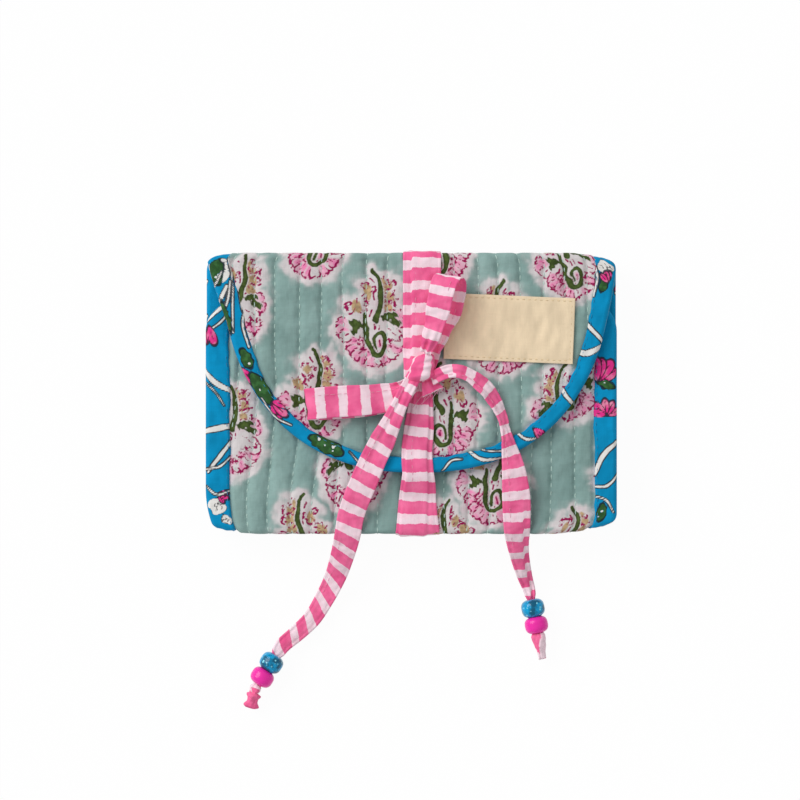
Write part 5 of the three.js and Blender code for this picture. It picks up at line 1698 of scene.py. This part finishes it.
class ORGANIZER_OT_label(bpy.types.Operator):
    """Makes the bare cotton label and the stitches round it"""

    bl_idname = "organizer.label"
    bl_label = "Label"

    def execute(self, context):
        trim = context.scene.organizer_trim
        cotton = plain_cotton("label_cotton", trim.label, True, 0.36, 0.1, 0.5)
        turn = math.radians(-2.4)
        along = np.array([math.cos(turn), math.sin(turn), 0])
        across = np.array([-math.sin(turn), math.cos(turn), 0])
        centre = np.array([39.5, 26.6, 24.95])
        width, height, margin = 53, 27, 1.3
        t = np.linspace(-width / 2, width / 2, 121)
        path = centre + t[:, None] * along
        up = np.array([0.0, 0.0, 1.0])

        def sway(share, at):
            u, v = share * width, at * height / 2
            ends = np.maximum(0, np.abs(share - 0.5) * 2 - 0.93) / 0.07
            curl = 0.5 * ends * np.maximum(0, np.abs(at) - 0.6)
            return 0.22 * ripple(u, v, 91, 15) + 0.09 * ripple(u, v, 92, 5) + curl

        rings, x = ribbon_rings(path, np.tile(-across, (len(t), 1)), np.tile(up, (len(t), 1)),
            height + 0 * t, 0.6 + 0 * t, 60, sway)
        label = tube_mesh("bare_label", rings, cotton, {"along": t[:, None] + 0 * x, "across": x})
        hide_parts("label")
        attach(label, "flap")
        a, b = width / 2 - margin, height / 2 - margin
        corner = np.array([(a, b), (-a, b), (-a, -b), (a, -b), (a, b)])
        bars = []
        for start, end in zip(corner[:-1], corner[1:]):
            flat = np.linspace(start, end, 60)
            row = centre + flat[:, :1] * along + flat[:, 1:] * across
            row[:, 2] += 0.22 + sway(flat[:, 0] / width + 0.5, -flat[:, 1] / (height / 2))
            bars += stitch_row(row, np.tile(up, (60, 1)), 1.5, 0.9, 0.3, sink=0.25)
        seam = merge_meshes("label_stitches", bars, thread_finish("label_thread", trim.label_thread))
        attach(seam, "flap")
        return done(self, [label, seam])


POCKET_BLUES = [(vine, 0.8, -70, -20, -30, -8, 10, -24, 64, -10),
    (vine, 0.7, -60, -50, -40, -36, 0, -44, 40, -30, 66, -44), (blue_leaf, -44, -30, 30, 11, 5, 3, 1),
    (blue_bloom, -18, -24, 80, 9, 5, 120, 2), (blue_leaf, 10, -38, -30, 10, 4.6, 3, 3),
    (blue_bloom, 38, -24, 60, 9, 5, 120, 4), (blue_leaf, 52, -30, 20, 9, 4, 2, 5),
    (blue_bloom, -56, -12, 120, 8, 4, 100, 6), (scribble, 22, -12, 3.6, 7)]


class ORGANIZER_OT_pockets(bpy.types.Operator):
    """Makes the two zipped pockets and the tapes of their zips"""

    bl_idname = "organizer.pockets"
    bl_label = "Pockets and zip tapes"

    def execute(self, context):
        trim = context.scene.organizer_trim
        blue = blue_finish(context.scene.organizer_blue)
        tape = plain_cotton("zip_tape_cotton", trim.tape, False, 0.5, 0.18, 0.7)
        made = []
        for place, body, up in (("back", "back_case", 1), ("front", "front_leaf", -1)):
            tapes = []
            for half in ("upper", "lower"):
                node = f"{place}_zip_tape_{half}"
                cloth = slab(f"{node}_cloth", *box_mm(node), tape, 1, 0.03, 3, 0.25, 0.7)
                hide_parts(node)
                tapes.append(cloth)
            node = f"{place}_pocket"
            low, high = box_mm(node)
            pocket = slab(f"{node}_cloth", low, high, blue, up, 0.3, 5, 1.2, 0.8,
                lambda x, y: blue_print(x, y, POCKET_BLUES))
            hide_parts(node)
            for piece in (pocket, *tapes):
                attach(piece, body)
            made += [pocket, *tapes]
        refinish(coil_finish(trim.tape), "back_zip_coil", "front_zip_coil")
        refinish(brass_finish(trim), "snap_cap", "snap_stud",
            *[f"{place}_zip_{kind}" for place in ("back", "front")
            for kind in ("slider", "pull", "stop_left", "stop_right")])
        return done(self, made)


def refinish(material, *nodes):
    """Gives rigid parts of the frame their finish."""
    for node in nodes:
        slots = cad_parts[node].data.materials
        for k in range(len(slots)):
            slots[k] = material


class ORGANIZER_OT_roll(bpy.types.Operator):
    """Makes the ring roll, its tab and its anchor"""

    bl_idname = "organizer.roll"
    bl_label = "Ring roll"

    def execute(self, context):
        blue = blue_finish(context.scene.organizer_blue)
        half, y, z = 59, 34, 8.9
        x = np.linspace(-half, half, 150)[:, None]
        radius = 3.5 * np.clip(1 - np.abs(x / half) ** 26, 0, 1) ** 0.5
        turn = turns(48)
        pucker = 0.16 * ripple(x, turn * 3.5, 97, 6) * np.clip(radius / 3, 0, 1)
        r = np.maximum(radius - 0.2 + pucker, 0.3)
        x = x + 0 * r
        rings = np.stack([x, y + r * np.cos(turn), z + r * np.sin(turn)], -1)
        features = [(vine, 0.9, -60, -6, -30, 4, 0, -5, 30, 5, 60, -2),
            *[(blue_leaf, k, 1, 25, 9, 4.4, 2, k + 60) for k in range(-52, 52, 26)],
            *[(blue_bloom, k + 12, 0, 80, 7, 4, 100, k + 90) for k in range(-52, 52, 26)]]
        roll = tube_mesh("ring_roll_pad", rings, blue, blue_print(x, turn * 3.5 - 11 + 0 * r, features))
        tab = slab("ring_roll_tab", (57, 28.6, 5.8), (71.9, 39.4, 6.9), blue, 1, 0.05, 4, 0.5, 0.7,
            lambda u, v: blue_print(u, v, [(vine, 0.8, 55, 30, 64, 36, 73, 34)]))
        anchor = slab("ring_roll_anchor_cloth", (-67, 28.5, 4.6), (-59.3, 39.5, 8.6), blue, 1, 0.1, 6, 1.6,
            0.6, lambda u, v: blue_print(u, v, [(blue_leaf, -65, 31, 60, 7, 4)]))
        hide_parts("ring_roll")
        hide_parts("ring_roll_anchor")
        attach(roll, "ring_roll")
        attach(tab, "ring_roll")
        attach(anchor, "back_case")
        return done(self, [roll, tab, anchor])


class ORGANIZER_OT_stage(bpy.types.Operator):
    """Sets up the white floor, the soft light from the upper left and the camera above"""

    bl_idname = "organizer.stage"
    bl_label = "Floor, light and camera"

    def execute(self, context):
        look, scene = context.scene.organizer_stage, context.scene
        size = 2000
        corners = np.array([(-size, -size), (size, -size), (size, size), (-size, size)])
        floor = put_mesh("studio_floor", np.column_stack([corners, np.full(4, -0.6)]), [(0, 1, 2, 3)],
            self.paper(look), smooth=False)

        scene.world = scene.world or bpy.data.worlds.new("studio")
        scene.world.use_nodes = True
        sky = scene.world.node_tree.nodes["Background"].inputs
        sky["Color"].default_value = (1, 1, 1, 1)
        sky["Strength"].default_value = look.sky

        lamp = bpy.data.lights.new("soft_key", "SUN")
        lamp.energy, lamp.angle = look.key, math.radians(42)
        key = bpy.data.objects.new("soft_key", lamp)
        key.rotation_euler = (math.radians(-26), math.radians(-46), 0)
        scene.collection.objects.link(key)

        lens = bpy.data.cameras.new("main")
        lens.sensor_width, lens.clip_end = 36.0, 20.0
        picture_width, front = 800, 0.022
        lens.lens = lens.sensor_width * look.distance / (look.pixel * picture_width)
        camera = bpy.data.objects.new("main", lens)
        camera.location = (-13 * look.pixel, -6.5 * look.pixel, front + look.distance)
        scene.collection.objects.link(camera)
        scene.camera = camera
        scene.view_settings.view_transform = "Standard"
        return done(self, [floor, key, camera])

    def paper(self, look):
        """Paper that the camera sees as white, with a share of the shadows that fall on it."""
        paper = Finish("studio_paper", 0.95, 0.0)
        paper.feed(paper.shader.inputs["Base Color"], (*look.floor, 1))
        rays = paper.node("LightPath").outputs
        seen = paper.math("MAXIMUM", paper.math("MAXIMUM", rays["Is Camera Ray"], rays["Is Glossy Ray"]),
            rays["Is Transmission Ray"])
        white = paper.node("Emission", {"Color": (1, 1, 1, 1), "Strength": 1.0})
        blend = paper.node("MixShader", {0: paper.math("MULTIPLY", seen, look.white),
            1: paper.shader.outputs[0], 2: white.outputs[0]})
        out = paper.tree.nodes["Material Output"]
        paper.tree.links.new(blend.outputs[0], out.inputs["Surface"])
        return paper.material


GROUPS = (ORGANIZER_OT_quilts, ORGANIZER_OT_linings, ORGANIZER_OT_bindings, ORGANIZER_OT_bands,
    ORGANIZER_OT_knot, ORGANIZER_OT_loops, ORGANIZER_OT_tails, ORGANIZER_OT_label, ORGANIZER_OT_pockets,
    ORGANIZER_OT_roll, ORGANIZER_OT_stage)


class ORGANIZER_PT_pieces(bpy.types.Panel):
    """Lists the groups of pieces and the settings that they are made from"""

    bl_label = "Jewelry organizer"
    bl_idname = "ORGANIZER_PT_pieces"
    bl_space_type = "VIEW_3D"
    bl_region_type = "UI"
    bl_category = "Organizer"

    def draw(self, context):
        for group in GROUPS:
            self.layout.operator(group.bl_idname)
        for key, settings in SETTINGS.items():
            box = self.layout.box()
            for name in settings.__annotations__:
                box.prop(getattr(context.scene, key), name)


def register():
    for settings in SETTINGS.values():
        bpy.utils.register_class(settings)
    for key, settings in SETTINGS.items():
        setattr(bpy.types.Scene, key, PointerProperty(type=settings))
    for group in (*GROUPS, ORGANIZER_PT_pieces):
        bpy.utils.register_class(group)


def unregister():
    for group in reversed((*GROUPS, ORGANIZER_PT_pieces)):
        bpy.utils.unregister_class(group)
    for key, settings in SETTINGS.items():
        delattr(bpy.types.Scene, key)
        bpy.utils.unregister_class(settings)


def main():
    register()
    for name in ("Cube", "Light", "Camera"):
        if name in bpy.data.objects:
            bpy.data.objects.remove(bpy.data.objects[name])
    for group in GROUPS:
        getattr(bpy.ops.organizer, group.bl_idname.split(".")[1])()
    bpy.context.view_layer.update()


if __name__ == "__main__":
    main()
